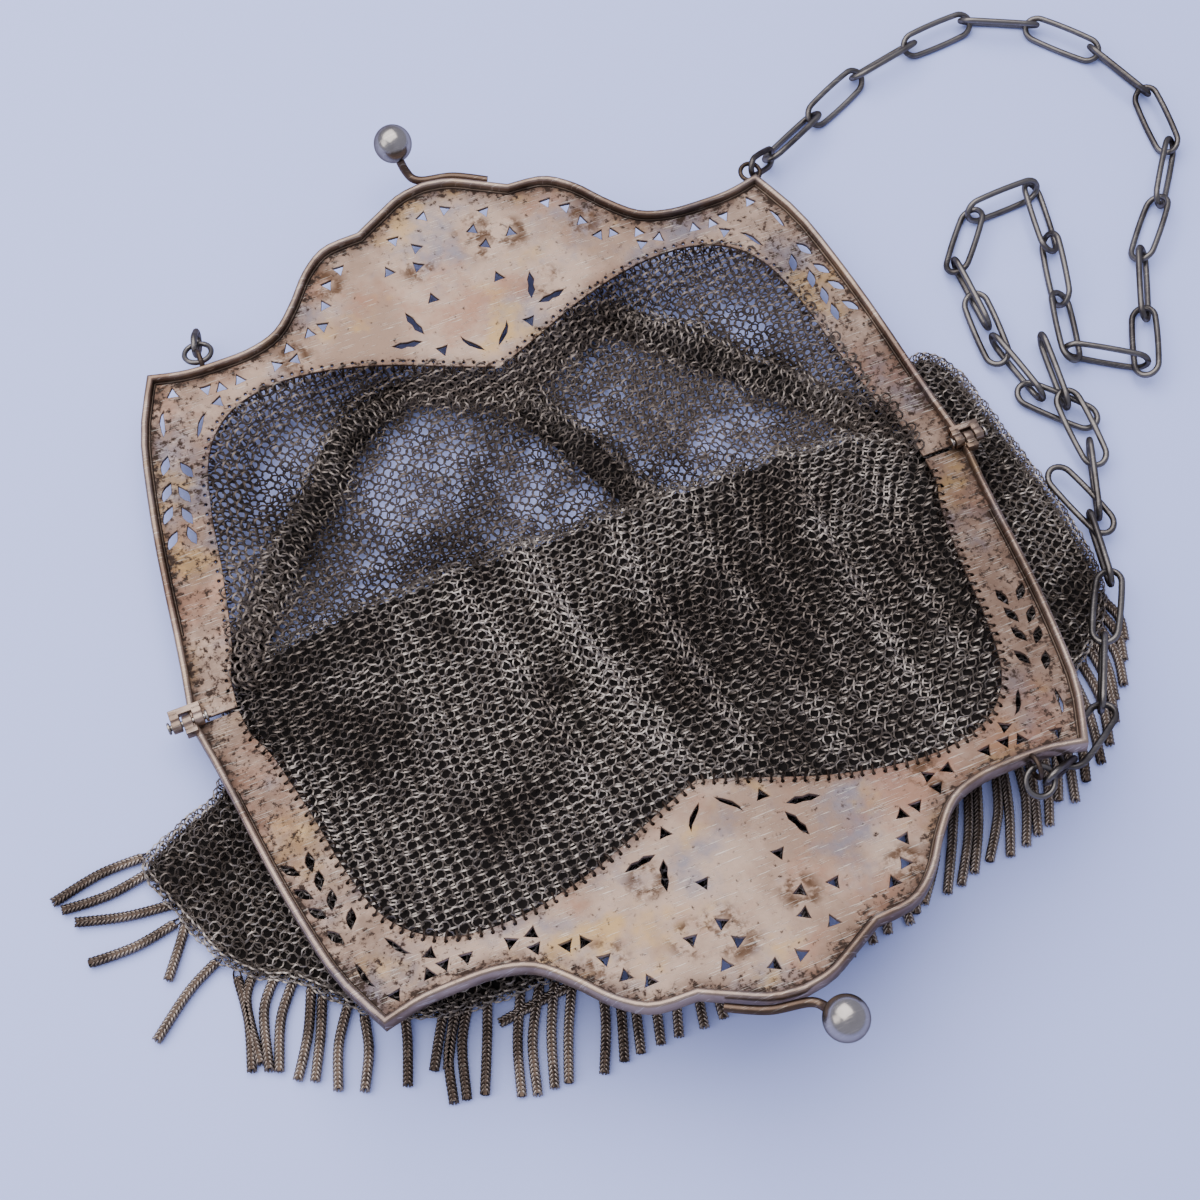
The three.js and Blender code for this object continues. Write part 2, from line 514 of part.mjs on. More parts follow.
/** The fringe: foxtail strands on a band along the pouch's hem. */
function fringe() {
  const hem = [
    ...footprint(FOOTPRINT_LEFT, -BAG.leftReach).slice(HEM_START),
    ...footprint(FOOTPRINT_RIGHT, BAG.rightReach).slice(0, HEM_END),
  ];
  const inside = offsetLine(hem, FRINGE.gap);
  const outside = offsetLine(hem, FRINGE.gap + FRINGE.band);
  const bodies = [solid(slab([...inside, ...outside.slice().reverse()], FRINGE.lift, FRINGE.lift + FRINGE.bandHeight))];
  for (const group of STRANDS) {
    for (let i = 0; i < group.count; i += 1) {
      const t = group.count > 1 ? i / (group.count - 1) : 0;
      const root = along(offsetLine(hem, FRINGE.gap + FRINGE.band / 2), group.from + (group.to - group.from) * t);
      const length = FRINGE.strand * group.share;
      const strand = new THREE.BoxGeometry(length, FRINGE.width, FRINGE.height).translate(length / 2, 0, 0)
        .rotateZ((group.start + (group.end - group.start) * t) * DEG)
        .translate(root.x, root.y, FRINGE.lift + FRINGE.height / 2);
      bodies.push(solid(strand));
    }
  }
  return geometryOf(fuse(bodies));
}

/** An oval link: a ring pulled out along X until it has its full length. */
function linkGeometry(size) {
  const radius = (size.width - size.wire) / 2;
  const half = (size.length - size.width) / 2;
  const geometry = new THREE.TorusGeometry(radius, size.wire / 2, 5, 10);
  const places = geometry.attributes.position;
  for (let i = 0; i < places.count; i += 1) {
    places.setX(i, places.getX(i) + Math.sign(places.getX(i)) * half);
  }
  return geometryOf(solid(geometry));
}

/** A link laid between two places and rolled about its own length, with its low side on the table. */
function laidLink(name, size, from, to, roll) {
  const rest = (size.width - size.wire) / 2 * Math.abs(Math.sin(roll * DEG)) + size.wire / 2;
  const a = new THREE.Vector3(from[0], from[1], (from[2] ?? 0) + rest);
  const b = new THREE.Vector3(to[0], to[1], (to[2] ?? 0) + rest);
  const length = b.clone().sub(a).normalize();
  const side = new THREE.Vector3(0, 0, 1).cross(length).normalize();
  const up = length.clone().cross(side);
  const mesh = new THREE.Mesh(linkGeometry(size), material(CHAIN_METAL));
  mesh.name = name;
  mesh.position.copy(a).add(b).multiplyScalar(0.5);
  mesh.quaternion.setFromRotationMatrix(new THREE.Matrix4().makeBasis(length, side, up));
  mesh.rotateX(roll * DEG);
  return mesh;
}

/** A round ring threaded through a jaw's loop, in that jaw's own frame. */
function ringAt(across, lean) {
  const place = eyePlace(across);
  const geometry = new THREE.TorusGeometry(RING.radius, RING.wire / 2, 5, 12)
    .rotateX(lean * DEG)
    .translate(place.x, place.y + RING.radius * Math.cos(lean * DEG), place.z + RING.radius * Math.sin(lean * DEG));
  return geometryOf(solid(geometry));
}

const material = (look) => new THREE.MeshStandardMaterial(look);

/** Adds a named mesh to a group. */
function put(group, name, geometry, look) {
  const mesh = new THREE.Mesh(geometry, material(look));
  mesh.name = name;
  group.add(mesh);
}

const handbag = new THREE.Group();

const farSide = new THREE.Group();
farSide.position.z = FRAME.hingeHeight;
farSide.rotation.x = FRAME.farTilt * DEG;
put(farSide, 'far_jaw', jaw(true), SILVER);
put(farSide, 'ball_clasp_far', clasp(-1), POLISHED);
put(farSide, 'ring_far_left', ringAt(FAR_EYES[1].across, RING_LEAN.far), CHAIN_METAL);

const nearSide = new THREE.Group();
nearSide.position.z = FRAME.hingeHeight;
nearSide.rotation.set(-FRAME.nearTilt * DEG, 0, 180 * DEG);
put(nearSide, 'near_jaw', jaw(false), SILVER);
put(nearSide, 'ball_clasp_near', clasp(-1), POLISHED);
put(nearSide, 'ring_near_right', ringAt(NEAR_EYES[0].across, RING_LEAN.near), CHAIN_METAL);

const pins = new THREE.Group();
pins.position.z = FRAME.hingeHeight;
put(pins, 'hinge_pin_left', hingePin(-1), SILVER);
put(pins, 'hinge_pin_right', hingePin(1), SILVER);

handbag.add(farSide, nearSide, pins);
put(handbag, 'mesh_pouch', pouch(), MESH_METAL);
put(handbag, 'fringe', fringe(), FRINGE_METAL);

CHAIN.forEach((row, i) => {
  const from = row.from ?? CHAIN[i - 1].to;
  const name = `chain_link_${String(i + 1).padStart(2, '0')}`;
  handbag.add(laidLink(name, LINK, from, row.to, row.roll));
});
for (const row of SHORT_LINKS) {
  const size = { ...SHORT_LINK, length: row.length ?? SHORT_LINK.length };
  handbag.add(laidLink(row.name, size, row.from, row.to, row.roll));
}

export default handbag;
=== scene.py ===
"""A silver ring-mesh evening bag lying open on a pale table, dressed over its CAD frame.

Everything is in metres in the row frame: X along the hinge line, +Y towards the far jaw, +Z up,
the table at zero. Tables below are in millimetres or in shares of a named size.
"""
from __future__ import annotations

import logging
import math
from collections.abc import Callable
from dataclasses import dataclass, field
from enum import Enum

import bmesh
import bpy
import numpy as np
from mathutils import Matrix, Vector

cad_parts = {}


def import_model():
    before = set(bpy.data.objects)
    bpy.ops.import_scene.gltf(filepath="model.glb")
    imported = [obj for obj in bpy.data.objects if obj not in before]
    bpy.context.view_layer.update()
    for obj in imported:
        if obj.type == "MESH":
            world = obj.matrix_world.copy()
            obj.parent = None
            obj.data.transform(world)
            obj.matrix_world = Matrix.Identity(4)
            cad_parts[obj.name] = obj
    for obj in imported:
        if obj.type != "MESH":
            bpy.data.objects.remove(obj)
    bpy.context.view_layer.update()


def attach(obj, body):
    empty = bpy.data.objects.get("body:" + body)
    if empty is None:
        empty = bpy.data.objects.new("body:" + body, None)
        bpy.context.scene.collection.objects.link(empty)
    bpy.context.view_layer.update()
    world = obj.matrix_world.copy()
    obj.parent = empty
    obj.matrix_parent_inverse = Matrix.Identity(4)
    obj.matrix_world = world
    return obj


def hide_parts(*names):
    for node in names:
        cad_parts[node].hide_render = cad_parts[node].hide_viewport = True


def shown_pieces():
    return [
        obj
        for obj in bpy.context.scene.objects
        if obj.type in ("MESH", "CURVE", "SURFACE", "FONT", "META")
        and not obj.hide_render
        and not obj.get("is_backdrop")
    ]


MM = 0.001
LOG = logging.getLogger("handbag")

# Hinge sizes in mm, which the jaws and the pins share
HALF_SPAN = 81.5
HINGE_HEIGHT = 9
KNUCKLE_INSET = 2.9
KNUCKLE_LENGTH = 1.8
KNUCKLE_GAP = 0.35

# Rings of the mesh: segments round the ring and sides of its wire
RING_SEGMENTS = 8
RING_SIDES = 3

# Jaw outline from the hinge to the crown and its inner edge: (across, out) as shares
SIDE_RUN = [(1.0, 0), (0.975, 0.135), (0.945, 0.35), (0.915, 0.51), (0.881, 0.64), (0.82, 0.76)]
SHOULDER_RUN = [(0.82, 0.76), (0.735, 0.744), (0.65, 0.741), (0.565, 0.745), (0.492, 0.766),
                (0.43, 0.817), (0.37, 0.88), (0.3, 0.922), (0.205, 0.93)]
CROWN_RUN = [(0.205, 0.93), (0.14, 0.96), (0.07, 0.99), (0, 1.0)]
MOUTH_RUN = [(1.0, 0), (0.99, 0.1), (0.957, 0.207), (0.915, 0.45), (0.888, 0.65), (0.845, 0.83),
             (0.765, 0.945), (0.65, 0.997), (0.5, 0.998), (0.31, 0.945), (0.11, 0.85), (0, 0.8)]
# Pierced ornament of a jaw's right half: kind, across, out, turn in degrees
PIERCINGS = [
    ("slot", 0.04, 0.594, 53), ("chip", 0.117, 0.602, -90), ("leaf", 0.194, 0.641, 3),
    ("leaf", 0.157, 0.683, 66), ("chip", 0.088, 0.726, 90), ("chip", 0.092, 0.813, -60),
    ("chip", 0.166, 0.821, 200), ("chip", 0.076, 0.857, 60), ("chip", 0.123, 0.892, 30),
    ("chip", 0.03, 0.926, 120), ("chip", 0.467, 0.693, 0), ("chip", 0.515, 0.693, 180),
    ("chip", 0.472, 0.722, 90), ("chip", 0.41, 0.741, -30), ("chip", 0.348, 0.793, 80),
    ("chip", 0.323, 0.839, 20), ("chip", 0.281, 0.865, 150), ("chip", 0.661, 0.685, 90),
    ("chip", 0.681, 0.656, 0), ("chip", 0.698, 0.693, -90), ("slot", 0.737, 0.616, 125),
    ("slot", 0.822, 0.647, 108), ("chip", 0.778, 0.707, -20), ("leaf", 0.896, 0.389, 128),
    ("leaf", 0.886, 0.446, 128), ("leaf", 0.871, 0.495, 126), ("leaf", 0.853, 0.554, 118),
    ("leaf", 0.85, 0.386, 82), ("leaf", 0.845, 0.431, 76), ("leaf", 0.834, 0.479, 72),
    ("chip", 0.372, 0.747, 40), ("chip", 0.613, 0.688, 200), ("leaf", 0.809, 0.53, 70),
]
LEAF = [(-1, 0), (-0.55, -0.72), (-0.05, -1), (0.4, -0.75), (1, 0.1), (0.5, 0.6), (0, 1), (-0.45, 0.7)]
HOOKED = [(-1, -0.2), (-0.35, -0.72), (0.02, -0.42), (0.42, -0.5), (1, 0.35), (0.36, 0.62), (-0.05, 0.4),
          (-0.5, 0.42)]
SLOT = [(-1, 0), (-0.5, -0.6), (0.1, -1), (0.6, -0.75), (1, 0.1), (0.5, -0.05), (0.05, 0.2), (-0.5, 0.35)]
CHIP = [(1, 0), (0.2, 0.42), (-0.55, 0.8), (-0.46, 0), (-0.5, -0.9), (0.3, -0.4)]
# Chips of the crown that have brown marks round them: shares across and out
STAINED = [(0.092, 0.813), (0.166, 0.821), (0.076, 0.857), (-0.092, 0.813), (-0.323, 0.839), (0.348, 0.793),
           (-0.467, 0.693), (0.197, 0.68)]

# Footprint of the folded pouch: share of its reach to that side, share of its drop
FOOTPRINT_LEFT = [(0.75, -0.1), (0.78, 0.06), (0.83, 0.198), (0.91, 0.242), (0.985, 0.296),
                  (1.0, 0.34), (0.965, 0.47), (0.925, 0.61), (0.87, 0.7), (0.8, 0.76),
                  (0.73, 0.865), (0.62, 0.965), (0.45, 1.0), (0.2, 0.99)]
FOOTPRINT_RIGHT = [(0.15, 0.98), (0.42, 0.965), (0.63, 0.9), (0.79, 0.79), (0.905, 0.69),
                   (0.975, 0.59), (1.0, 0.46), (0.992, 0.22), (0.97, 0.03), (0.955, -0.1),
                   (0.94, -0.23), (0.91, -0.315), (0.87, -0.34), (0.83, -0.29), (0.775, -0.14)]
# Upright folds of the near wall: share at the ridge, share at the jaw, height and half width in mm
FOLDS = [(-0.62, -0.5, 1.2, 3.2), (-0.36, -0.2, 2.0, 2.6), (-0.16, -0.02, 3.2, 2.6), (0.08, 0.16, 2.3, 2.5),
         (0.3, 0.36, 1.8, 3.0), (0.45, 0.5, 1.2, 2.4), (0.62, 0.62, 2.6, 2.8), (0.82, 0.76, 1.4, 2.6)]
# Bunched gathers of the far wall, points in mm
GATHERS = [
    [(-72.6, 5.6), (-61, 20), (-50, 32), (-40, 40.9), (-34.2, 48.3), (-19.6, 54.1), (-2, 48.5)],
    [(-0.1, 47.7), (7.1, 34.5), (14.1, 19.5), (19, 10.4)],
    [(24.4, 56.7), (33.4, 49.4), (41.2, 41.2), (56.7, 25), (70, 10)],
    [(-2, 46), (6, 49.5), (15, 53.5), (24, 56.5)],
]
# Fringe strands as they lie, root to tip, points in mm
STRANDS = [
    [(-97.4, -19.1), (-106, -19.2), (-115.2, -21.1)], [(-97.7, -22.3), (-106, -23.6), (-114.4, -23.2)],
    [(-95.6, -29.6), (-104, -28.6), (-112.6, -26.3)], [(-95.8, -33.1), (-104, -34.6), (-112.8, -34.4)],
    [(-93.5, -27.2), (-93.9, -33.1), (-100.3, -42.6)], [(-91, -42.6), (-97.5, -46), (-105.3, -52.1)],
    [(-88.6, -46.5), (-89.2, -55), (-91.4, -63.5)], [(-85.8, -47.3), (-88.6, -52), (-89.6, -62.9)],
    [(-82, -49), (-86.1, -54.4), (-88.5, -64.5)], [(-79.2, -50.9), (-83.8, -57), (-87, -65.6)],
    [(-76.8, -53.3), (-80, -61), (-84.4, -68.2)], [(-75.5, -55.7), (-78, -62), (-81.6, -69.5)],
    [(-71.3, -58.4), (-75.6, -65), (-78.3, -72.4)], [(-69.7, -61.8), (-71, -68), (-73.9, -74.2)],
    [(-62.5, -62.8), (-64, -69), (-66.6, -76.3)], [(-53.5, -62.8), (-57, -68), (-61.5, -75.9)],
    [(-52, -63.1), (-55, -68.5), (-59.1, -76.5)], [(-53.3, -66.5), (-58, -74), (-60.1, -82.2)],
    [(-50.3, -65.2), (-55, -73), (-57.8, -82.8)], [(-47.5, -66), (-50.6, -74), (-54.6, -83.3)],
    [(-30.7, -70.9), (-39, -71.4), (-47.4, -72.4)], [(-41.7, -67.9), (-45.9, -77), (-48.6, -86)],
    [(-38.2, -68.4), (-43.2, -77.5), (-45.8, -86.5)], [(-35.5, -68.9), (-39.6, -77.6), (-42.6, -86.7)],
    [(-32, -69.2), (-36.4, -78), (-40, -87)], [(-27, -69.6), (-29.6, -79), (-33.4, -87.6)],
    [(-24, -69.4), (-26.2, -78), (-29.3, -87.2)], [(-20.6, -69.2), (-23.4, -78), (-26, -87)],
    [(-17, -69), (-19.6, -78), (-22, -86.8)], [(-13.5, -69), (-15.6, -78), (-18.4, -86.6)],
    [(-9.5, -69), (-11.6, -78), (-13.5, -86.8)], [(-5.6, -68.8), (-8.2, -77), (-9.6, -86.8)],
    [(-1.8, -68.6), (-3.4, -77), (-5.6, -86.4)], [(2, -68.5), (0, -77), (-2, -86.4)],
    [(5.6, -68.3), (4.8, -77), (2.4, -86)], [(9.4, -68.2), (7.2, -77), (6.4, -86)],
    [(13.2, -68), (12, -76.5), (9.6, -85.5)], [(17.4, -67.8), (15, -76.4), (13.4, -85.4)],
    [(21.4, -67.6), (19.8, -76), (16.8, -85)], [(25.4, -67.4), (23, -76), (21.6, -84.6)],
    [(29.6, -67), (28, -75), (24.9, -84)], [(33.6, -66.8), (31, -75), (29.6, -83.6)],
    [(37.4, -66.6), (35, -74.4), (31.4, -82.6)], [(43.6, -66), (39.6, -74), (33.7, -81.3)],
    [(48.3, -64.6), (43.6, -73), (38.6, -81.2)], [(51.7, -63.5), (47.4, -72.4), (41.7, -80.8)],
    [(53.6, -63.4), (50, -71.4), (45.1, -79.5)], [(58.2, -62), (54.6, -70.6), (48.6, -78.8)],
    [(59.9, -61.4), (56.8, -70.8), (52.8, -79.3)], [(62.9, -60.6), (60.8, -70), (56.7, -78.3)],
    [(66.4, -58.8), (63.4, -68), (59.7, -77.4)], [(69.4, -57.2), (67, -66.8), (62.6, -76.5)],
    [(72, -55.6), (70.4, -64), (66.3, -73.1)], [(75, -54.4), (72.6, -64.6), (69.4, -74.1)],
    [(77.8, -53), (76.6, -62), (73.1, -71.7)], [(80.6, -51.4), (80, -60), (77.7, -69.1)],
    [(83.6, -49.6), (83.6, -58), (80.9, -66.6)], [(86.6, -47.4), (86.4, -55.6), (84, -63.1)],
    [(88.6, -45.6), (88, -52.6), (86.2, -59.1)], [(90.4, -43.6), (91, -50.6), (89.3, -56.7)],
    [(92.2, -41.4), (93.2, -47), (91.8, -52.1)], [(93.6, -38.6), (95.2, -43.6), (94, -48.4)],
]
# The chain as it lies: start, end (a third number lifts the end off the table), roll in degrees
CHAIN = [
    ((74.5, 79.6, 0.6), (88.3, 86.4), -50), (None, (101.9, 92.8), 34), (None, (116.5, 96.2), -56),
    (None, (131.4, 97.7), 34), (None, (145.1, 91.3), -56), (None, (155, 80), 34),
    (None, (160.4, 66), -56), (None, (158.7, 51), 34), (None, (149.5, 39.2), -56),
    (None, (139.4, 28.7), 34), ((139.2, 28.3), (132.8, 15.3), -56),
    ((133, 15.7), (126.4, 2.8, 1.5), 25), ((126.1, 4.9), (113.9, 12.8), -85),
    ((113.4, 12.2, 1.4), (117.8, 25), 28), ((118, 25.2), (122, 38.2), -60), (None, (124.8, 51.8), 34),
    ((124.4, 51.8), (110.1, 51), -60), (None, (100.4, 40.1, 0.6), 30),
    ((100.4, 40.1), (100.1, 25.4), -78), ((100.5, 32.4, 0.9), (98.9, 16, 0.9), 22),
    ((99.8, 20.5), (102.6, 6.1), -80), ((100.4, 8.1, 0.7), (110.4, -2.9, 0.7), 15),
    ((109.1, 17.1), (106.9, 2.2), -82), ((107, 3.1, 3.2), (106.8, -11.9, 2), 8),
    ((106.6, -8.9), (101.4, -22.4), -78), ((97.2, -11.7, 2.2), (101.1, -26.1, 2.4), 8),
    ((99.1, -22.9, 0.2), (94.6, -37.9, 4), -78), ((95, -36.8, 5.6), (86.2, -49.2, 8.8), 20),
    ((86.1, -49.1, 7), (77.3, -62.3, 11.2), -80), ((78, -62.9, 12.8), (65.2, -70.2, 16.7), 20),
]
BAILS = [
    ("bail_link_far_right", 14.6, (66.6, 73.8, 8.4), (75.2, 80, 0.4), 66),
    ("bail_link_near_right", 12.6, (66, -70.3, 14.4), (57.3, -73.1, 23), -88),
    ("bail_link_far_left", 9.0, (-56.2, 75.6, 6.6), (-54.4, 81.4, 0.8), 88),
]


class Side(Enum):
    """Which of the two jaws a piece belongs to."""

    FAR = "far"
    NEAR = "near"


# Lines and meshes


def smooth_run(rows: list[tuple[float, float]], across: float, out: float, steps: int) -> np.ndarray:
    """A smooth line through table rows.

    Args:
        rows: shares across and out.
        across: the size that the first share multiplies.
        out: the size that the second share multiplies.
        steps: how many pieces the line is cut into.

    Returns:
        The points, one row each.
    """
    p = np.array(rows, float) * [across, out]
    last = len(p) - 1
    made = []
    for t in np.linspace(0, last, steps + 1):
        i = min(int(t), last - 1)
        w = t - i
        a, b, c, d = p[max(i - 1, 0)], p[i], p[i + 1], p[min(i + 2, last)]
        v0, v1 = (c - a) / 2, (d - b) / 2
        made.append((2 * b - 2 * c + v0 + v1) * w**3 + (-3 * b + 3 * c - 2 * v0 - v1) * w**2 + v0 * w + b)
    return np.array(made)


def both_halves(half: np.ndarray) -> np.ndarray:
    """A half outline joined to its mirror image: left hinge, crown, right hinge."""
    return np.vstack([half * [-1, 1], half[:-1][::-1]])


def offset_line(points: np.ndarray, distance: float) -> np.ndarray:
    """Moves an open line sideways, to its right as it runs, with mitred corners."""
    before = np.vstack([points[:1], points[:-1]])
    after = np.vstack([points[1:], points[-1:]])
    a, b = points - before, after - points
    a[0], b[-1] = b[0], a[-1]
    a /= np.linalg.norm(a, axis=1)[:, None]
    b /= np.linalg.norm(b, axis=1)[:, None]
    along = a + b
    along /= np.linalg.norm(along, axis=1)[:, None]
    stretch = distance / np.maximum((along * a).sum(1), 0.5)
    return points + np.stack([along[:, 1], -along[:, 0]], 1) * stretch[:, None]


def even_points(points: np.ndarray, pitch: float) -> tuple[np.ndarray, np.ndarray]:
    """Places at a steady pitch along a line, and the line's direction at each."""
    steps = np.linalg.norm(np.diff(points, axis=0), axis=1)
    far = np.concatenate([[0], np.cumsum(steps)])
    at = np.arange(pitch / 2, far[-1], pitch)
    places = np.stack([np.interp(at, far, points[:, k]) for k in range(points.shape[1])], 1)
    ahead = np.stack([np.interp(np.minimum(at + pitch / 4, far[-1]), far, points[:, k])
                      for k in range(points.shape[1])], 1)
    behind = np.stack([np.interp(at - pitch / 4, far, points[:, k]) for k in range(points.shape[1])], 1)
    way = ahead - behind
    return places, way / np.linalg.norm(way, axis=1)[:, None]


def inside(points: np.ndarray, outline: np.ndarray) -> np.ndarray:
    """Whether each point lies inside a closed outline."""
    x, y = points[:, 0][:, None], points[:, 1][:, None]
    a, b = outline, np.roll(outline, -1, 0)
    crosses = (a[:, 1] > y) != (b[:, 1] > y)
    rise = np.where(b[:, 1] == a[:, 1], 1e-9, b[:, 1] - a[:, 1])
    return (crosses & (x < (b[:, 0] - a[:, 0]) * (y - a[:, 1]) / rise + a[:, 0])).sum(1) % 2 == 1


def reach_to(points: np.ndarray, line: np.ndarray) -> np.ndarray:
    """Distance of each point to an open line."""
    a, b = line[:-1], line[1:]
    way = b - a
    t = ((points[:, None] - a) * way).sum(2) / np.maximum((way**2).sum(1), 1e-12)
    nearest = a + way * np.clip(t, 0, 1)[..., None]
    return np.linalg.norm(points[:, None] - nearest, axis=2).min(1)


def curve_mesh(name: str, loops: list[np.ndarray], *, flat: bool = False, closed: bool = True,
               extrude: float = 0, radius: float = 0, section: bpy.types.Curve | None = None,
               resolution: int = 3, widths: list[float] | None = None) -> bpy.types.Mesh:
    """A mesh made from a curve: a filled plate, a wire, or a swept section.

    Args:
        name: name for the mesh.
        loops: the curve's lines, in metres.
        flat: fill the lines as a plate.
        closed: whether the lines close on themselves.
        extrude: half thickness of a plate.
        radius: radius of the wire, or of a plate's edge.
        section: a curve to sweep in place of a round wire.
        resolution: how finely the wire is rounded.
        widths: share of the wire's radius at each point.

    Returns:
        The mesh, in metres.
    """
    curve = bpy.data.curves.new(name, "CURVE")
    depth = loops[0].shape[1]
    curve.dimensions = "2D" if depth == 2 else "3D"
    curve.fill_mode = "BOTH" if flat else "FULL" if depth == 3 else "NONE"
    curve.twist_mode = "MINIMUM"
    curve.extrude = extrude
    curve.bevel_depth = radius
    curve.bevel_resolution = resolution
    curve.use_fill_caps = not closed
    helper = None
    if section:
        helper = bpy.data.objects.new(name + "_section", section)
        bpy.context.scene.collection.objects.link(helper)
        curve.bevel_mode = "OBJECT"
        curve.bevel_object = helper
    for loop in loops:
        line = curve.splines.new("POLY")
        line.points.add(len(loop) - 1)
        for i, p in enumerate(loop):
            line.points[i].co = (*p, *([0] * (3 - depth)), 1)
            if widths:
                line.points[i].radius = widths[i]
        line.use_cyclic_u = closed
    holder = bpy.data.objects.new(name, curve)
    bpy.context.scene.collection.objects.link(holder)
    graph = bpy.context.evaluated_depsgraph_get()
    mesh = bpy.data.meshes.new_from_object(holder.evaluated_get(graph))
    mesh.name = name
    for used in (holder, helper):
        if used:
            bpy.data.objects.remove(used)
    return mesh


def section_curve(points: list[tuple[float, float]]) -> bpy.types.Curve:
    """A closed flat curve to sweep along a line, points in millimetres."""
    curve = bpy.data.curves.new("section", "CURVE")
    curve.dimensions = "2D"
    line = curve.splines.new("POLY")
    line.points.add(len(points) - 1)
    for i, (x, y) in enumerate(points):
        line.points[i].co = (x * MM, y * MM, 0, 1)
    line.use_cyclic_u = True
    return curve


def rounded_box(width: float, bottom: float, top: float, corner: float) -> list[tuple[float, float]]:
    """Points of a box section with cut corners, in millimetres, centred across."""
    w, c = width / 2, corner
    k = c * 0.3
    return [(-w + c, top), (-w + k, top - k), (-w, top - c), (-w, bottom + c), (-w + k, bottom + k),
            (-w + c, bottom), (w - c, bottom), (w - k, bottom + k), (w, bottom + c), (w, top - c),
            (w - k, top - k), (w - c, top)]


def add_piece(name: str, mesh: bpy.types.Mesh, material: bpy.types.Material,
              sharp: float = 40, replaces: tuple[str, ...] = ()) -> bpy.types.Object:
    """Puts a finished mesh into the scene as a piece of the object.

    Args:
        name: the piece's name.
        mesh: its mesh, in the row frame.
        material: its finish.
        sharp: edges sharper than this many degrees stay crisp.
        replaces: CAD nodes that it stands for.

    Returns:
        The object.
    """
    piece = bpy.data.objects.new(name, mesh)
    bpy.context.scene.collection.objects.link(piece)
    mesh.materials.clear()
    mesh.materials.append(material)
    mesh.shade_smooth()
    mesh.set_sharp_from_angle(angle=math.radians(sharp))
    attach(piece, "root")
    if replaces:
        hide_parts(*replaces)
    LOG.info("%s: %d triangles", name, len(mesh.loops) - 2 * len(mesh.polygons))
    return piece


def mesh_from(bm: bmesh.types.BMesh, name: str) -> bpy.types.Mesh:
    """Turns an edited mesh into a plain one and frees it."""
    made = bpy.data.meshes.new(name)
    bm.to_mesh(made)
    bm.free()
    return made


def joined(parts: list[bpy.types.Mesh], name: str) -> bpy.types.Mesh:
    """Joins meshes into one and removes the parts."""
    bm = bmesh.new()
    for part in parts:
        bm.from_mesh(part)
    made = mesh_from(bm, name)
    for part in parts:
        bpy.data.meshes.remove(part)
    return made


def round_bar(bm: bmesh.types.BMesh, middle: float, length: float, radius: float, edge: float) -> None:
    """Adds a round bar that lies on the X axis, with softened ends.

    Args:
        bm: the mesh that it is added to.
        middle: where its middle lies along X, in mm.
        length: its length in mm.
        radius: its radius in mm.
        edge: how far its end edges are rounded, in mm.
    """
    turn = Matrix.Translation((middle * MM, 0, 0)) @ Matrix.Rotation(math.pi / 2, 4, "Y")
    made = bmesh.ops.create_cone(bm, cap_ends=True, segments=24, radius1=radius * MM, radius2=radius * MM,
                                 depth=length * MM, matrix=turn)
    ends = {f for v in made["verts"] for f in v.link_faces if len(f.verts) > 4}
    rims = {e for f in ends for e in f.edges}
    bmesh.ops.bevel(bm, geom=list(rims), offset=edge * MM, segments=2, affect="EDGES", profile=0.5,
                    material=-1)


def template_from(bm: bmesh.types.BMesh) -> tuple[np.ndarray, list[list[int]]]:
    """The vertices and faces of an edited mesh, which is freed."""
    bm.verts.index_update()
    made = np.array([v.co[:] for v in bm.verts]), [[v.index for v in f.verts] for f in bm.faces]
    bm.free()
    return made


def torus_template(radius: float, wire: float, around: int, sides: int) -> tuple[np.ndarray, list[list[int]]]:
    """A small ring lying in the XY plane, made by spinning a circle.

    Args:
        radius: middle radius in metres.
        wire: wire diameter in metres.
        around: segments round the ring.
        sides: sides of the wire.

    Returns:
        Its vertices and faces.
    """
    bm = bmesh.new()
    spot = Matrix.Translation((radius, 0, 0)) @ Matrix.Rotation(math.pi / 2, 4, "X")
    bmesh.ops.create_circle(bm, segments=sides, radius=wire / 2, matrix=spot)
    bmesh.ops.spin(bm, geom=bm.verts[:] + bm.edges[:], cent=(0, 0, 0), axis=(0, 0, 1),
                   angle=2 * math.pi, steps=around, use_merge=True)
    bmesh.ops.remove_doubles(bm, verts=bm.verts[:], dist=1e-7)
    bmesh.ops.recalc_face_normals(bm, faces=bm.faces[:])
    return template_from(bm)


def grain_template(length: float, width: float, height: float) -> tuple[np.ndarray, list[list[int]]]:
    """One small oval grain of a woven foxtail strand, long side on X.

    Args:
        length: full length in metres.
        width: full width in metres.
        height: full height in metres.

    Returns:
        Its vertices and faces.
    """
    coarse_radius = 0.55
    bm = bmesh.new()
    bmesh.ops.create_uvsphere(bm, u_segments=5, v_segments=3, radius=coarse_radius)
    turn = Matrix.Rotation(math.pi / 2, 4, "Y")
    bmesh.ops.transform(bm, verts=bm.verts[:], matrix=Matrix.Diagonal((length, width, height, 1)) @ turn)
    return template_from(bm)


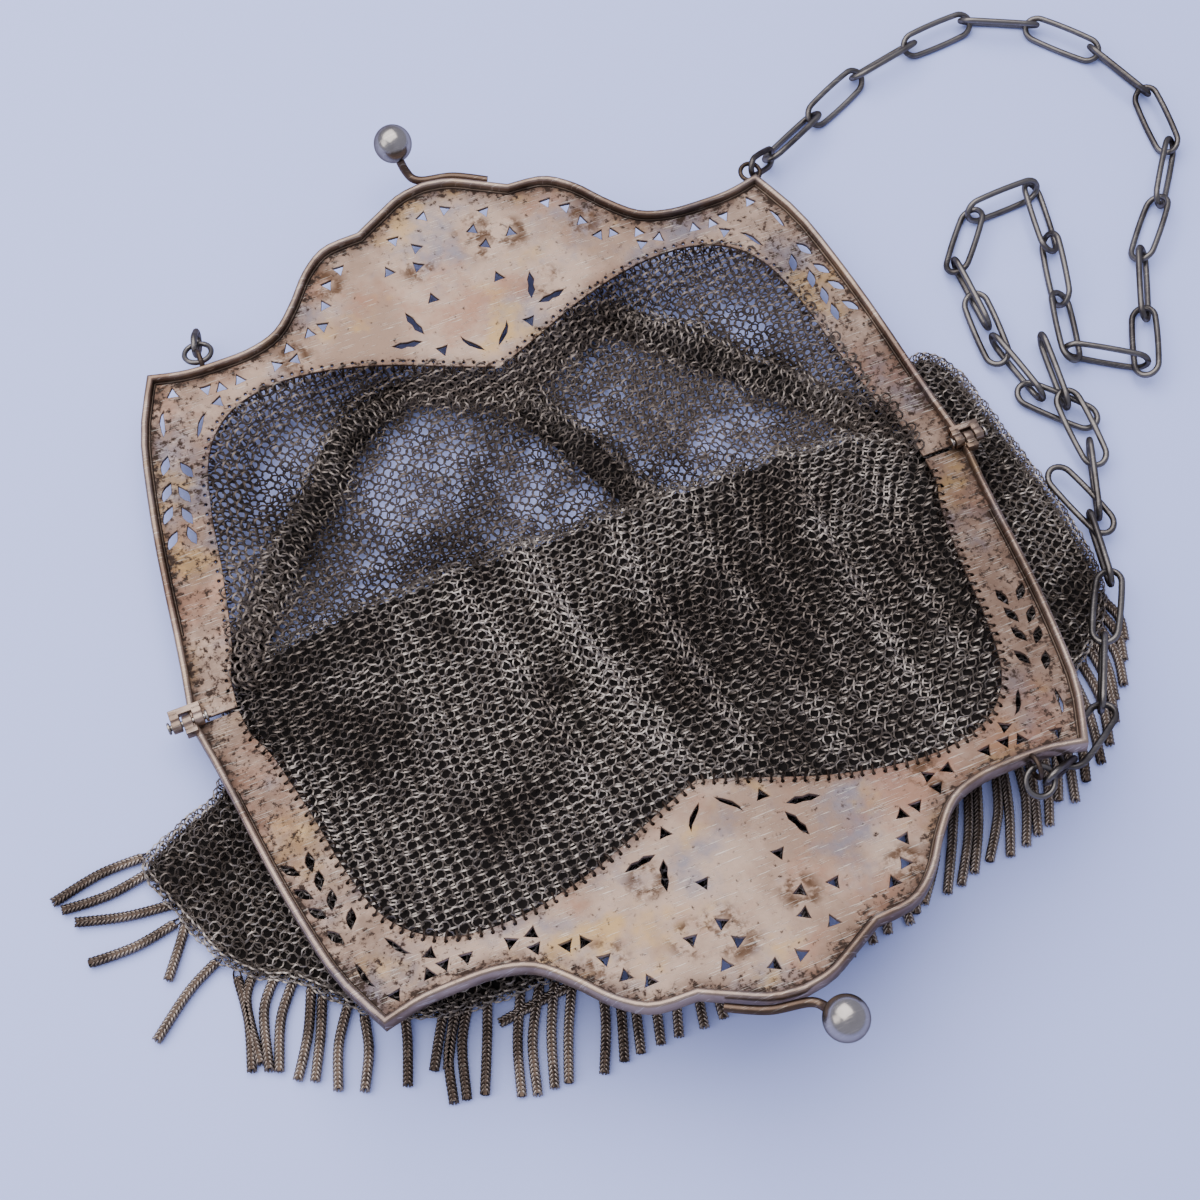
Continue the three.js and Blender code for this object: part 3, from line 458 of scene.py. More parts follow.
def scatter(name: str, template: tuple[np.ndarray, list[list[int]]], places: np.ndarray,
            axes: np.ndarray) -> bpy.types.Mesh:
    """Copies a small shape to many places in one mesh.

    Args:
        name: name for the mesh.
        template: the shape's vertices and faces.
        places: where each copy goes, n by 3.
        axes: each copy's own X, Y and Z directions as columns, n by 3 by 3.

    Returns:
        The joined mesh.
    """
    verts, faces = template
    count = len(places)
    coords = np.einsum("nij,vj->nvi", axes, verts) + places[:, None, :]
    sizes = np.array([len(f) for f in faces])
    loops = np.concatenate([np.array(f) for f in faces])
    all_loops = (loops[None, :] + (np.arange(count) * len(verts))[:, None]).ravel()
    starts = np.concatenate([[0], np.cumsum(np.tile(sizes, count))[:-1]])
    mesh = bpy.data.meshes.new(name)
    mesh.vertices.add(count * len(verts))
    mesh.vertices.foreach_set("co", coords.astype(np.float32).ravel())
    mesh.loops.add(len(all_loops))
    mesh.loops.foreach_set("vertex_index", all_loops.astype(np.int32))
    mesh.polygons.add(len(starts))
    mesh.polygons.foreach_set("loop_start", starts.astype(np.int32))
    mesh.update(calc_edges=True)
    mesh.validate()
    return mesh


def frames(normal: np.ndarray, along: np.ndarray) -> np.ndarray:
    """Own X, Y and Z directions for copies that face a normal, with X near a given way."""
    z = normal / np.linalg.norm(normal, axis=1)[:, None]
    x = along - (along * z).sum(1)[:, None] * z
    x /= np.linalg.norm(x, axis=1)[:, None]
    return np.stack([x, np.cross(z, x), z], 2)


def turned(axes: np.ndarray, angles: np.ndarray) -> np.ndarray:
    """Turns each copy about its own X by an angle in radians."""
    c, s = np.cos(angles)[:, None], np.sin(angles)[:, None]
    x, y, z = axes[:, :, 0], axes[:, :, 1], axes[:, :, 2]
    return np.stack([x, y * c + z * s, z * c - y * s], 2)


# Finishes


class Nodes:
    """Small helper that adds nodes to a tree and wires them."""

    def __init__(self, tree: bpy.types.NodeTree) -> None:
        """Keeps the tree that the nodes go into."""
        self.tree = tree

    def add(self, kind: str, values: dict[str, object] | None = None, **settings: object) -> bpy.types.Node:
        """Adds a node.

        Args:
            kind: the node's type.
            values: input values or sockets by input name.
            settings: plain properties of the node.

        Returns:
            The node.
        """
        node = self.tree.nodes.new(kind)
        for key, value in settings.items():
            setattr(node, key, value)
        for key, value in (values or {}).items():
            self.feed(node.inputs[key], value)
        return node

    def feed(self, socket: bpy.types.NodeSocket, value: object) -> None:
        """Links a socket to another, or sets its plain value."""
        if isinstance(value, bpy.types.NodeSocket):
            self.tree.links.new(value, socket)
        else:
            socket.default_value = value

    def ramp(self, source: bpy.types.NodeSocket, low: float, high: float) -> bpy.types.NodeSocket:
        """A soft step from 0 to 1 between two values."""
        node = self.add("ShaderNodeMapRange", {"Value": source, "From Min": low, "From Max": high})
        node.interpolation_type = "SMOOTHSTEP"
        return node.outputs["Result"]

    def mix(self, share: object, a: object, b: object) -> bpy.types.NodeSocket:
        """A colour between two others. The node's colour sockets are 6, 7 and, going out, 2."""
        node = self.add("ShaderNodeMix", data_type="RGBA")
        self.feed(node.inputs[0], share)
        self.feed(node.inputs[6], a)
        self.feed(node.inputs[7], b)
        return node.outputs[2]

    def math(self, operation: str, a: object, b: object = 0.0) -> bpy.types.NodeSocket:
        """A sum, product or other plain step on two values."""
        node = self.add("ShaderNodeMath", operation=operation)
        self.feed(node.inputs[0], a)
        self.feed(node.inputs[1], b)
        return node.outputs[0]

    def noise(self, vector: object, scale: float, detail: float, rough: float) -> bpy.types.NodeSocket:
        """Fractal noise as a value from 0 to 1."""
        values = {"Vector": vector, "Scale": scale, "Detail": detail, "Roughness": rough}
        return self.add("ShaderNodeTexNoise", values).outputs["Fac"]


def rgb(red: int, green: int, blue: int) -> tuple[float, float, float, float]:
    """A screen colour as the linear colour that shaders take."""
    def one(c: float) -> float:
        c /= 255
        return c / 12.92 if c <= 0.04045 else ((c + 0.055) / 1.055) ** 2.4
    return one(red), one(green), one(blue), 1.0


def effect_group(name: str, inputs: dict[str, str], outputs: dict[str, str]) -> bpy.types.NodeTree:
    """An empty node group with named sockets."""
    tree = bpy.data.node_groups.new(name, "ShaderNodeTree")
    for way, sockets in (("INPUT", inputs), ("OUTPUT", outputs)):
        for socket, kind in sockets.items():
            tree.interface.new_socket(socket, in_out=way, socket_type=f"NodeSocket{kind}")
    return tree


def tarnish_group() -> bpy.types.NodeTree:
    """Old silver: pale metal with clouds of blue-grey, yellow and rust brown, dark speckles, and a brown band
    of dirt and painted shade.

    Returns:
        The group, which puts out a colour, a mask of the dirt and a height.
    """
    given = {"Vector": "Vector", "Pale": "Color", "Dull": "Color", "Amount": "Float", "Clouds": "Float",
             "Grime_and_shade": "Float", "Marks": "Float"}
    tree = effect_group("old_silver", given, {"Color": "Color", "Dirt": "Float", "Height": "Float"})
    n = Nodes(tree)
    given = n.add("NodeGroupInput").outputs
    where = given["Vector"]

    def moved(offset: tuple[float, float, float]) -> bpy.types.NodeSocket:
        """The place, shifted so that one noise doesn't repeat another."""
        return n.add("ShaderNodeMapping", {"Vector": where, "Location": offset}).outputs[0]

    def cloud(noise: bpy.types.NodeSocket, low: float, high: float, share: float) -> bpy.types.NodeSocket:
        """A patch mask of one noise, scaled by the finish's share of clouds."""
        return n.math("MULTIPLY", n.math("MULTIPLY", n.ramp(noise, low, high), share), given["Clouds"])

    wide = n.noise(where, 42, 5, 0.62)
    blue_noise = n.noise(moved((0.37, 0.11, 0.05)), 48, 5, 0.62)
    gold_noise = n.noise(moved((0.71, 0.53, 0.2)), 62, 4, 0.6)
    rust_noise = n.noise(moved((0.13, 0.77, 0.4)), 36, 5, 0.66)
    fine = n.noise(where, 760, 4, 0.7)
    small = n.noise(moved((0.5, 0.2, 0.3)), 230, 4, 0.7)
    tone = n.mix(n.math("MULTIPLY", n.ramp(wide, 0.42, 0.62), given["Amount"]), given["Pale"], given["Dull"])
    blue = n.mix(cloud(blue_noise, 0.48, 0.66, 0.75), tone, rgb(96, 98, 112))
    gold = n.mix(cloud(gold_noise, 0.54, 0.68, 0.6), blue, rgb(168, 134, 76))
    rust = n.mix(cloud(rust_noise, 0.51, 0.68, 0.7), gold, rgb(132, 92, 72))
    # Darker brown band along the grime-and-shade mask: dirt, and painted shade in the corner by the rim wall.
    edge = n.math("MULTIPLY", given["Grime_and_shade"], n.ramp(small, 0.25, 0.6))
    brown = n.mix(n.math("MULTIPLY", edge, 0.9), rust, rgb(84, 63, 52))
    marks = n.math("MULTIPLY", given["Marks"], n.ramp(small, 0.45, 0.58))
    stained = n.mix(n.math("MULTIPLY", marks, 0.95), brown, rgb(78, 54, 36))
    pull = n.math("ADD", n.math("MULTIPLY", given["Grime_and_shade"], 0.2), n.math("MULTIPLY", blue_noise, 0.16))
    specks = n.math("MULTIPLY", n.ramp(n.math("ADD", fine, pull), 0.67, 0.82), given["Clouds"])
    out = n.add("NodeGroupOutput")
    n.feed(out.inputs["Color"], n.mix(specks, stained, rgb(54, 41, 34)))
    soiled = n.math("MULTIPLY", n.math("MAXIMUM", edge, marks), 0.6)
    n.feed(out.inputs["Dirt"], n.math("MAXIMUM", specks, soiled))
    n.feed(out.inputs["Height"], n.math("MULTIPLY", fine, 0.6))
    return tree


def scratch_group() -> bpy.types.NodeTree:
    """Fine scratches that run across each other.

    Returns:
        The group, which puts out a mask.
    """
    tree = effect_group("scratches", {"Vector": "Vector"}, {"Mask": "Float"})
    n = Nodes(tree)
    where = n.add("NodeGroupInput").outputs["Vector"]
    masks = []
    for turn, offset in ((0.5, 0.0), (1.9, 0.4), (2.7, 0.8)):
        laid = n.add("ShaderNodeMapping", {"Vector": where, "Rotation": (0, 0, turn),
                                           "Scale": (1, 26, 1), "Location": (offset, 0, 0)}).outputs[0]
        masks.append(n.ramp(n.noise(laid, 190, 2, 0.5), 0.66, 0.7))
    out = n.add("NodeGroupOutput")
    n.feed(out.inputs["Mask"], n.math("MAXIMUM", n.math("MAXIMUM", masks[0], masks[1]), masks[2]))
    return tree


@dataclass(frozen=True)
class Finish:
    """One metal finish of the bag."""

    name: str
    pale: tuple[float, float, float, float]
    dull: tuple[float, float, float, float]
    amount: float
    metal: float
    smooth: float
    rough: float
    bump: float = 0.0
    scratched: float = 0.0
    clouds: float = 0.0
    weathered_and_shaded: bool = False

    def build(self, tarnish: bpy.types.NodeTree, scratches: bpy.types.NodeTree) -> bpy.types.Material:
        """Makes the material.

        Args:
            tarnish: the shared old silver group.
            scratches: the shared scratch group.

        Returns:
            The material.
        """
        material = bpy.data.materials.new(self.name)
        material.use_nodes = True
        n = Nodes(material.node_tree)
        shader = material.node_tree.nodes["Principled BSDF"]
        where = n.add("ShaderNodeTexCoord").outputs["Object"]
        old = n.add("ShaderNodeGroup", node_tree=tarnish)
        n.feed(old.inputs["Vector"], where)
        n.feed(old.inputs["Pale"], self.pale)
        n.feed(old.inputs["Dull"], self.dull)
        n.feed(old.inputs["Amount"], self.amount)
        n.feed(old.inputs["Clouds"], self.clouds)
        # The grime-and-shade attribute darkens the plate with dirt and with painted shade by the rim; the
        # marks attribute holds its stains.
        for socket, attribute in (("Grime_and_shade", "grime_and_shade"), ("Marks", "marks")):
            if self.weathered_and_shaded:
                painted = n.add("ShaderNodeAttribute", attribute_name=attribute)
                n.feed(old.inputs[socket], painted.outputs["Fac"])
            else:
                n.feed(old.inputs[socket], 0.0)
        lines = n.add("ShaderNodeGroup", node_tree=scratches)
        n.feed(lines.inputs["Vector"], where)
        streak = n.math("MULTIPLY", lines.outputs["Mask"], self.scratched)
        n.feed(shader.inputs["Base Color"], n.mix(streak, old.outputs["Color"], rgb(226, 214, 200)))
        dirt = old.outputs["Dirt"]
        rough = n.add("ShaderNodeMapRange", {"Value": dirt, "To Min": self.smooth, "To Max": self.rough})
        n.feed(shader.inputs["Roughness"], rough.outputs["Result"])
        metal = n.add("ShaderNodeMapRange", {"Value": dirt, "To Min": self.metal, "To Max": self.metal * 0.5})
        n.feed(shader.inputs["Metallic"], metal.outputs["Result"])
        height = n.math("SUBTRACT", old.outputs["Height"], n.math("MULTIPLY", lines.outputs["Mask"], 0.3))
        bump = n.add("ShaderNodeBump", {"Strength": self.bump, "Distance": 0.2 * MM, "Height": height})
        n.feed(shader.inputs["Normal"], bump.outputs["Normal"])
        shader.inputs["Specular Tint"].default_value = rgb(150, 142, 136)
        return material


class Finishes:
    """All materials of the object, built once."""

    def __init__(self) -> None:
        """Builds the shared groups and each finish from them."""
        tarnish, scratches = tarnish_group(), scratch_group()
        looks = {
            "plate": Finish("pierced_silver", rgb(156, 132, 116), rgb(122, 98, 83), amount=0.85, metal=0.7,
                            smooth=0.38, rough=0.66, bump=0.35, scratched=0.35, clouds=1.0, weathered_and_shaded=True),
            "rim": Finish("rim_silver", rgb(158, 136, 121), rgb(98, 79, 67), amount=0.9, metal=0.75,
                          smooth=0.28, rough=0.5, bump=0.15, scratched=0.4, clouds=0.35),
            "loop": Finish("dark_wire", rgb(86, 72, 62), rgb(42, 33, 29), amount=0.8, metal=0.8,
                           smooth=0.4, rough=0.6, bump=0.1, scratched=0.1),
            "ball": Finish("ball_silver", rgb(162, 154, 148), rgb(104, 95, 88), amount=0.9, metal=0.95,
                           smooth=0.22, rough=0.42, bump=0.12, scratched=0.25),
            "arm": Finish("arm_silver", rgb(96, 78, 66), rgb(58, 46, 40), amount=0.8, metal=0.9,
                          smooth=0.3, rough=0.5, bump=0.12, scratched=0.2),
            "chain": Finish("chain_silver_wire", rgb(112, 106, 102), rgb(62, 56, 54), amount=0.8, metal=0.92,
                            smooth=0.32, rough=0.5, bump=0.15, scratched=0.15),
            "ring": Finish("mesh_ring", rgb(166, 155, 146), rgb(88, 77, 70), amount=0.85, metal=0.8,
                           smooth=0.46, rough=0.6),
            # Darker copy of the ring metal for the gathers: painted shade inside the bunched folds.
            "gather": Finish("bunched_ring_painted_shade", rgb(132, 121, 113), rgb(72, 63, 57), amount=0.85, metal=0.8,
                             smooth=0.48, rough=0.6),
            # Darker copy of the ring metal for the far net and the lower rings: painted shade in and under
            # the frame.
            "net": Finish("net_ring_painted_shade", rgb(124, 112, 104), rgb(70, 60, 54), amount=0.8, metal=0.7,
                          smooth=0.52, rough=0.62),
            # Near-black finish for the sheets and cores under the rings: painted shade between and inside the
            # mesh layers.
            "backing": Finish("mesh_shadow", rgb(30, 26, 25), rgb(20, 17, 17), amount=0.8, metal=0.0,
                              smooth=0.9, rough=0.95, bump=0.3),
            "fringe": Finish("foxtail_silver", rgb(152, 138, 128), rgb(76, 65, 58), amount=0.9, metal=0.92,
                             smooth=0.3, rough=0.5),
            "pin": Finish("pin_silver", rgb(176, 166, 156), rgb(120, 106, 94), amount=0.6, metal=0.95,
                          smooth=0.24, rough=0.4, bump=0.1, scratched=0.3),
        }
        self.made = {key: look.build(tarnish, scratches) for key, look in looks.items()}

    def __getitem__(self, key: str) -> bpy.types.Material:
        """The material of that name."""
        return self.made[key]


# The frame's jaws


@dataclass
class Jaw:
    """One pierced jaw of the frame, with its rim, hinge knuckles, ring loops and sewing loops."""

    side: Side
    tilt: float
    eyes: tuple[tuple[float, float], ...]
    half_span: float = HALF_SPAN
    reach: float = 95
    hinge_height: float = HINGE_HEIGHT
    mouth_span: float = 72.3
    mouth_reach: float = 61.9
    plate: float = 0.8
    rim_width: float = 1.3
    rim_height: float = 3.6
    recess: float = 1.75
    seam: float = 0.5
    leaf: tuple[float, float] = (4.7, 2.0)
    crown_leaf: float = 1.4
    slot: tuple[float, float] = (6.4, 1.9)
    chip: float = 2.1
    hole_pitch: float = 2.05
    hole_radius: float = 0.44
    hole_inset: float = 0.85
    hole_start: float = 1.5
    knuckle: float = 1.4
    bore: float = 0.95
    eye_radius: float = 2.1
    eye_wire: float = 1.0
    sewing_radius: float = 1.05
    sewing_wire: float = 0.4
    sewing_drop: float = 0.75
    longest_edge: float = 2.4

    def place(self) -> Matrix:
        """Where the jaw stands: its own frame in the row frame."""
        lift = Matrix.Translation((0, 0, self.hinge_height * MM))
        if self.side is Side.FAR:
            return lift @ Matrix.Rotation(math.radians(self.tilt), 4, "X")
        return lift @ Matrix.Rotation(math.radians(-self.tilt), 4, "X") @ Matrix.Rotation(math.pi, 4, "Z")

    def outer_edge(self) -> np.ndarray:
        """The outline from left hinge over the crown to right hinge, in mm."""
        parts = [smooth_run(SIDE_RUN, self.half_span, self.reach, 12),
                 smooth_run(SHOULDER_RUN, self.half_span, self.reach, 28)[1:],
                 smooth_run(CROWN_RUN, self.half_span, self.reach, 8)[1:]]
        return both_halves(np.vstack(parts))

    def inner_edge(self) -> np.ndarray:
        """The edge that the mesh hangs from, left to right, in mm."""
        return both_halves(smooth_run(MOUTH_RUN, self.mouth_span, self.mouth_reach, 44))

    def holes(self) -> list[np.ndarray]:
        """Outlines of the pierced ornament, both halves, and of the sewing holes."""
        crown_end, chip_half = 0.3, 0.78
        made = []
        for kind, across, out, turn in PIERCINGS:
            if kind == "leaf":
                on_crown = across < crown_end
                grown = self.crown_leaf if on_crown else 1.0
                outline = HOOKED if on_crown else LEAF
                shape = np.array(outline) * [self.leaf[0] / 2 * grown, self.leaf[1] / 2 * grown]
            elif kind == "slot":
                shape = np.array(SLOT) * [self.slot[0] / 2, self.slot[1] / 2]
            else:
                shape = np.array(CHIP) * self.chip * chip_half
            c, s = math.cos(math.radians(turn)), math.sin(math.radians(turn))
            laid = shape @ np.array([[c, s], [-s, c]]) + [across * self.half_span, out * self.reach]
            made += [laid, laid * [-1, 1]]
        ring = np.array([(math.cos(a), math.sin(a)) for a in np.arange(6) * math.pi / 3]) * self.hole_radius
        made += [ring + spot for spot in self.sewing_spots()[0]]
        return made

    def sewing_spots(self) -> tuple[np.ndarray, np.ndarray]:
        """Places of the small holes along the inner edge and the edge's direction at each."""
        line = offset_line(self.inner_edge(), -self.hole_inset)
        line = line[line[:, 1] > self.hole_start]
        return even_points(line, self.hole_pitch)

    def plate_mesh(self) -> bpy.types.Mesh:
        """The pierced plate, as a filled flat curve with its holes."""
        outer = offset_line(self.outer_edge(), self.rim_width / 2)
        around = np.vstack([outer, self.inner_edge()[::-1]])
        around[:, 1] = np.maximum(around[:, 1], self.seam / 2)
        edge = 0.1
        half = self.plate / 2
        mesh = curve_mesh("plate", [loop * MM for loop in [around, *self.holes()]], flat=True,
                          extrude=(half - edge) * MM, radius=edge * MM, resolution=0)
        mesh.transform(Matrix.Translation((0, 0, -(self.recess + half) * MM)))
        self.cut_fine(mesh)
        self.paint_grime_and_shade(mesh)
        return mesh

    def cut_fine(self, mesh: bpy.types.Mesh) -> None:
        """Cuts the plate's long edges, so that the painted grime and shade can fade over it from corner to
        corner.
        """
        most_passes = 6
        bm = bmesh.new()
        bm.from_mesh(mesh)
        for _ in range(most_passes):
            long = [e for e in bm.edges if e.calc_length() > self.longest_edge * MM]
            if not long:
                break
            bmesh.ops.subdivide_edges(bm, edges=long, cuts=1)
            bmesh.ops.triangulate(bm, faces=[f for f in bm.faces if len(f.verts) > 3])
        bm.to_mesh(mesh)
        bm.free()

    def paint_grime_and_shade(self, mesh: bpy.types.Mesh) -> None:
        """Paints a darkening mask by the rim, by the sewing holes and towards the ends, which is dirt and, by
        the rim, also painted shade in the corner against the rim wall; and a mask of brown stains round
        chips.
        """
        spots = np.array([v.co[:2] for v in mesh.vertices]) / MM
        rim_band, rim_fade, mesh_fade, ends_start, ends_fade = 1.6, 2.3, 1.7, 48, 16
        stain_radius, stain_width = 2.4, 1.3
        past_band = np.maximum(reach_to(spots, self.outer_edge()) - rim_band, 0)
        by_rim = np.exp(-((past_band / rim_fade) ** 1.4))
        by_mesh = 0.6 * np.exp(-((reach_to(spots, self.inner_edge()) / mesh_fade) ** 2))
        ends = 0.5 * np.clip((np.abs(spots[:, 0]) - ends_start) / ends_fade, 0, 1)
        grime_and_shade = np.clip(np.maximum(np.maximum(by_rim, by_mesh), ends), 0, 1)
        marks = np.zeros(len(spots))
        for across, out in STAINED:
            away = np.hypot(spots[:, 0] - across * self.half_span, spots[:, 1] - out * self.reach)
            marks = np.maximum(marks, np.exp(-(((away - stain_radius) / stain_width) ** 2)))
        for name, values in (("grime_and_shade", grime_and_shade), ("marks", marks)):
            mesh.attributes.new(name, "FLOAT", "POINT").data.foreach_set("value", values.astype(np.float32))

    def rim_mesh(self) -> bpy.types.Mesh:
        """The rim wall with its rounded top."""
        outer = self.outer_edge()
        outer[:, 1] = np.maximum(outer[:, 1], self.seam / 2)
        outer[0, 1] = outer[-1, 1] = self.seam / 2
        return curve_mesh("rim", [offset_line(outer, self.rim_width / 2) * MM], closed=False,
                          section=section_curve(rounded_box(self.rim_width, -self.rim_height, 0, 0.5)))

    def groove_mesh(self) -> bpy.types.Mesh:
        """A dark line in the corner between the plate and the rim, which paints the shade and dirt in that
        corner.
        """
        inset, radius, short = 0.2, 0.34, 3
        line = offset_line(self.outer_edge(), self.rim_width + inset)
        z = np.full((len(line), 1), -self.recess)
        return curve_mesh("groove", [np.hstack([line, z])[short:-short] * MM], closed=False,
                          radius=radius * MM, resolution=1)

    def hinge_mesh(self) -> bpy.types.Mesh:
        """The knuckles at both ends, each a tube with its neck, and the lug that carries them."""
        bm = bmesh.new()
        length = KNUCKLE_LENGTH
        clear = self.knuckle + KNUCKLE_GAP
        knuckle_edge, neck_start, neck_past, lug_depth = 0.18, 0.05, 0.65, 1.3
        slots = (0, 2) if self.side is Side.FAR else (1,)
        starts = [self.half_span - KNUCKLE_INSET + k * (length + KNUCKLE_GAP) for k in slots]
        left = min(starts[0], self.half_span - self.rim_width)
        right = starts[-1] + length
        for side in (-1, 1):
            for start in starts:
                round_bar(bm, side * (start + length / 2), length, self.knuckle, knuckle_edge)
                self.box(bm, side * (start + length / 2), length, self.bore + neck_start, clear + neck_past)
            self.box(bm, side * (left + right) / 2, right - left, clear, clear + lug_depth)
        return mesh_from(bm, "hinge")

    def box(self, bm: bmesh.types.BMesh, middle: float, length: float, y0: float, y1: float) -> None:
        """Adds a bevelled block beside the hinge line between two distances out."""
        edge = 0.15
        size = Matrix.Diagonal((length * MM, (y1 - y0) * MM, 2 * self.bore * MM, 1))
        spot = Matrix.Translation((middle * MM, (y0 + y1) / 2 * MM, 0))
        made = bmesh.ops.create_cube(bm, size=1, matrix=spot @ size)
        edges = {e for v in made["verts"] for e in v.link_edges}
        bmesh.ops.bevel(bm, geom=list(edges), offset=edge * MM, segments=2, affect="EDGES", profile=0.5,
                        material=-1)

    def eye_place(self, across: float) -> np.ndarray:
        """Where a loop for a ring stands, just outside the rim, in the jaw's own frame."""
        edge = self.outer_edge()
        x = across * self.half_span
        stand = self.eye_radius - self.eye_wire / 2
        return np.array([x, np.interp(x, edge[:, 0], edge[:, 1]) + stand, -self.recess])

    def loops_mesh(self) -> bpy.types.Mesh:
        """The ring loops outside the rim."""
        parts = []
        for across, turn in self.eyes:
            template = torus_template(self.eye_radius * MM, self.eye_wire * MM, 24, 8)
            axes = np.array(Matrix.Rotation(math.radians(turn), 3, "Y"))[None]
            parts.append(scatter("loop", template, self.eye_place(across)[None] * MM, axes))
        return joined(parts, "loops")

    def sewing_mesh(self) -> bpy.types.Mesh:
        """The small wire loops that tie the mesh to the plate's inner edge."""
        spots, way = self.sewing_spots()
        count = len(spots)
        inward = np.stack([way[:, 1], -way[:, 0]], 1)
        into_mesh, dip, lean_share = 0.95, -0.15, 0.3
        drop = self.sewing_drop if self.side is Side.FAR else 0.0
        height = -self.recess - self.plate * 0.55 - drop
        middle = np.hstack([spots + inward * into_mesh, np.full((count, 1), height)])
        along = np.hstack([inward, np.full((count, 1), dip)])
        lean = np.sin(np.arange(count) * 2.4) * lean_share
        normal = np.hstack([way + inward * lean[:, None], np.zeros((count, 1))])
        template = torus_template(self.sewing_radius * MM, self.sewing_wire * MM, 10, 4)
        return scatter("sewing", template, middle * MM, frames(normal, along))

    def build(self, finishes: Finishes) -> list[bpy.types.Object]:
        """Makes all pieces of the jaw and puts them in place.

        Args:
            finishes: the bag's materials.

        Returns:
            The pieces.
        """
        jaw = f"{self.side.value}_jaw"
        parts = [("plate", self.plate_mesh(), "plate", 30, (jaw,)),
                 ("rim", self.rim_mesh(), "rim", 50, ()),
                 # The groove's dark wire finish paints shade and dirt in the corner by the rim.
                 ("groove", self.groove_mesh(), "loop", 80, ()),
                 ("knuckles", self.hinge_mesh(), "rim", 40, ()),
                 ("loops", self.loops_mesh(), "loop", 80, ()),
                 ("sewing", self.sewing_mesh(), "loop", 80, ())]
        made = []
        for part, mesh, finish, sharp, nodes in parts:
            mesh.transform(self.place())
            made.append(add_piece(f"{jaw}_{part}", mesh, finishes[finish], sharp, nodes))
        return made


@dataclass
class Clasp:
    """A ball on an arm that runs along the crown's outer side before it bends out."""

    jaw: Jaw
    ball_radius: float = 4
    wire: float = 1.9
    strip: float = 14
    clearance: float = 0.35
    ball_reach: float = 8.5
    rise: float = 3.5
    aside: float = 3

    def build(self, finishes: Finishes) -> bpy.types.Object:
        """Makes the ball and its arm.

        Args:
            finishes: the bag's materials.

        Returns:
            The ball, which stands for the CAD node.
        """
        away = offset_line(self.jaw.outer_edge(), -(self.clearance + self.wire / 2))
        crown = away[(away[:, 0] > 0) & (away[:, 0] < self.strip)]
        crown = crown[np.argsort(-crown[:, 0])][::3]
        z = -self.jaw.rim_height / 2
        reach = self.jaw.reach
        rows = [(x, y, z) for x, y in crown]
        rows.append((0, reach + self.clearance + self.wire * 0.6, z))
        rows.append((-self.aside * 0.7, reach + self.ball_reach * 0.5, z * 0.4))
        rows.append((-self.aside, reach + self.ball_reach, self.rise))
        path = smooth_path(np.array(rows), 40)
        widths = list(np.linspace(0.85, 1.0, len(path)))
        arm = curve_mesh("arm", [path * MM], closed=False, radius=self.wire / 2 * MM, widths=widths)
        bm = bmesh.new()
        spot = Matrix.Translation(Vector(rows[-1]) * MM)
        bmesh.ops.create_uvsphere(bm, u_segments=40, v_segments=24, radius=self.ball_radius * MM, matrix=spot)
        ball = mesh_from(bm, "ball")
        for mesh in (arm, ball):
            mesh.transform(self.jaw.place())
        name = f"ball_clasp_{self.jaw.side.value}"
        add_piece(name + "_arm", arm, finishes["arm"], 70)
        return add_piece(name + "_ball", ball, finishes["ball"], 70, (name,))


def smooth_path(points: np.ndarray, steps: int) -> np.ndarray:
    """A smooth line in space through a few points."""
    flat = smooth_run([tuple(p) for p in points[:, :2]], 1, 1, steps)
    lift = smooth_run([(p, 0) for p in points[:, 2]], 1, 1, steps)[:, :1] if points.shape[1] == 3 else None
    return flat if lift is None else np.hstack([flat, lift])


# The pouch of ring mesh


def slopes(height: Callable[[np.ndarray, np.ndarray], np.ndarray], x: np.ndarray, y: np.ndarray,
           step: float) -> tuple[np.ndarray, np.ndarray]:
    """How steeply a surface rises along X and along Y.

    Args:
        height: the surface's height at places x and y.
        x: places along X in mm.
        y: places along Y in mm.
        step: how far to each side it is looked at.

    Returns:
        The rise along X and the rise along Y.
    """
    along_x = (height(x + step, y) - height(x - step, y)) / (2 * step)
    along_y = (height(x, y + step) - height(x, y - step)) / (2 * step)
    return along_x, along_y


def staggered(left: float, right: float, bottom: float, count: int, pitch: float, row: float) -> np.ndarray:
    """Places in straight rows, every second row moved by half a pitch.

    Args:
        left: where the rows start along X, in mm.
        right: where they end.
        bottom: where the first row lies along Y.
        count: how many rows there are.
        pitch: distance between neighbours of a row.
        row: distance between rows.

    Returns:
        Each place's X and Y, and 1 where its row is moved.
    """
    rows = []
    for k in range(count):
        x = np.arange(left + (k % 2) * pitch / 2, right, pitch)
        rows.append(np.stack([x, np.full_like(x, bottom + k * row), np.full_like(x, k % 2)], 1))
    return np.vstack(rows)


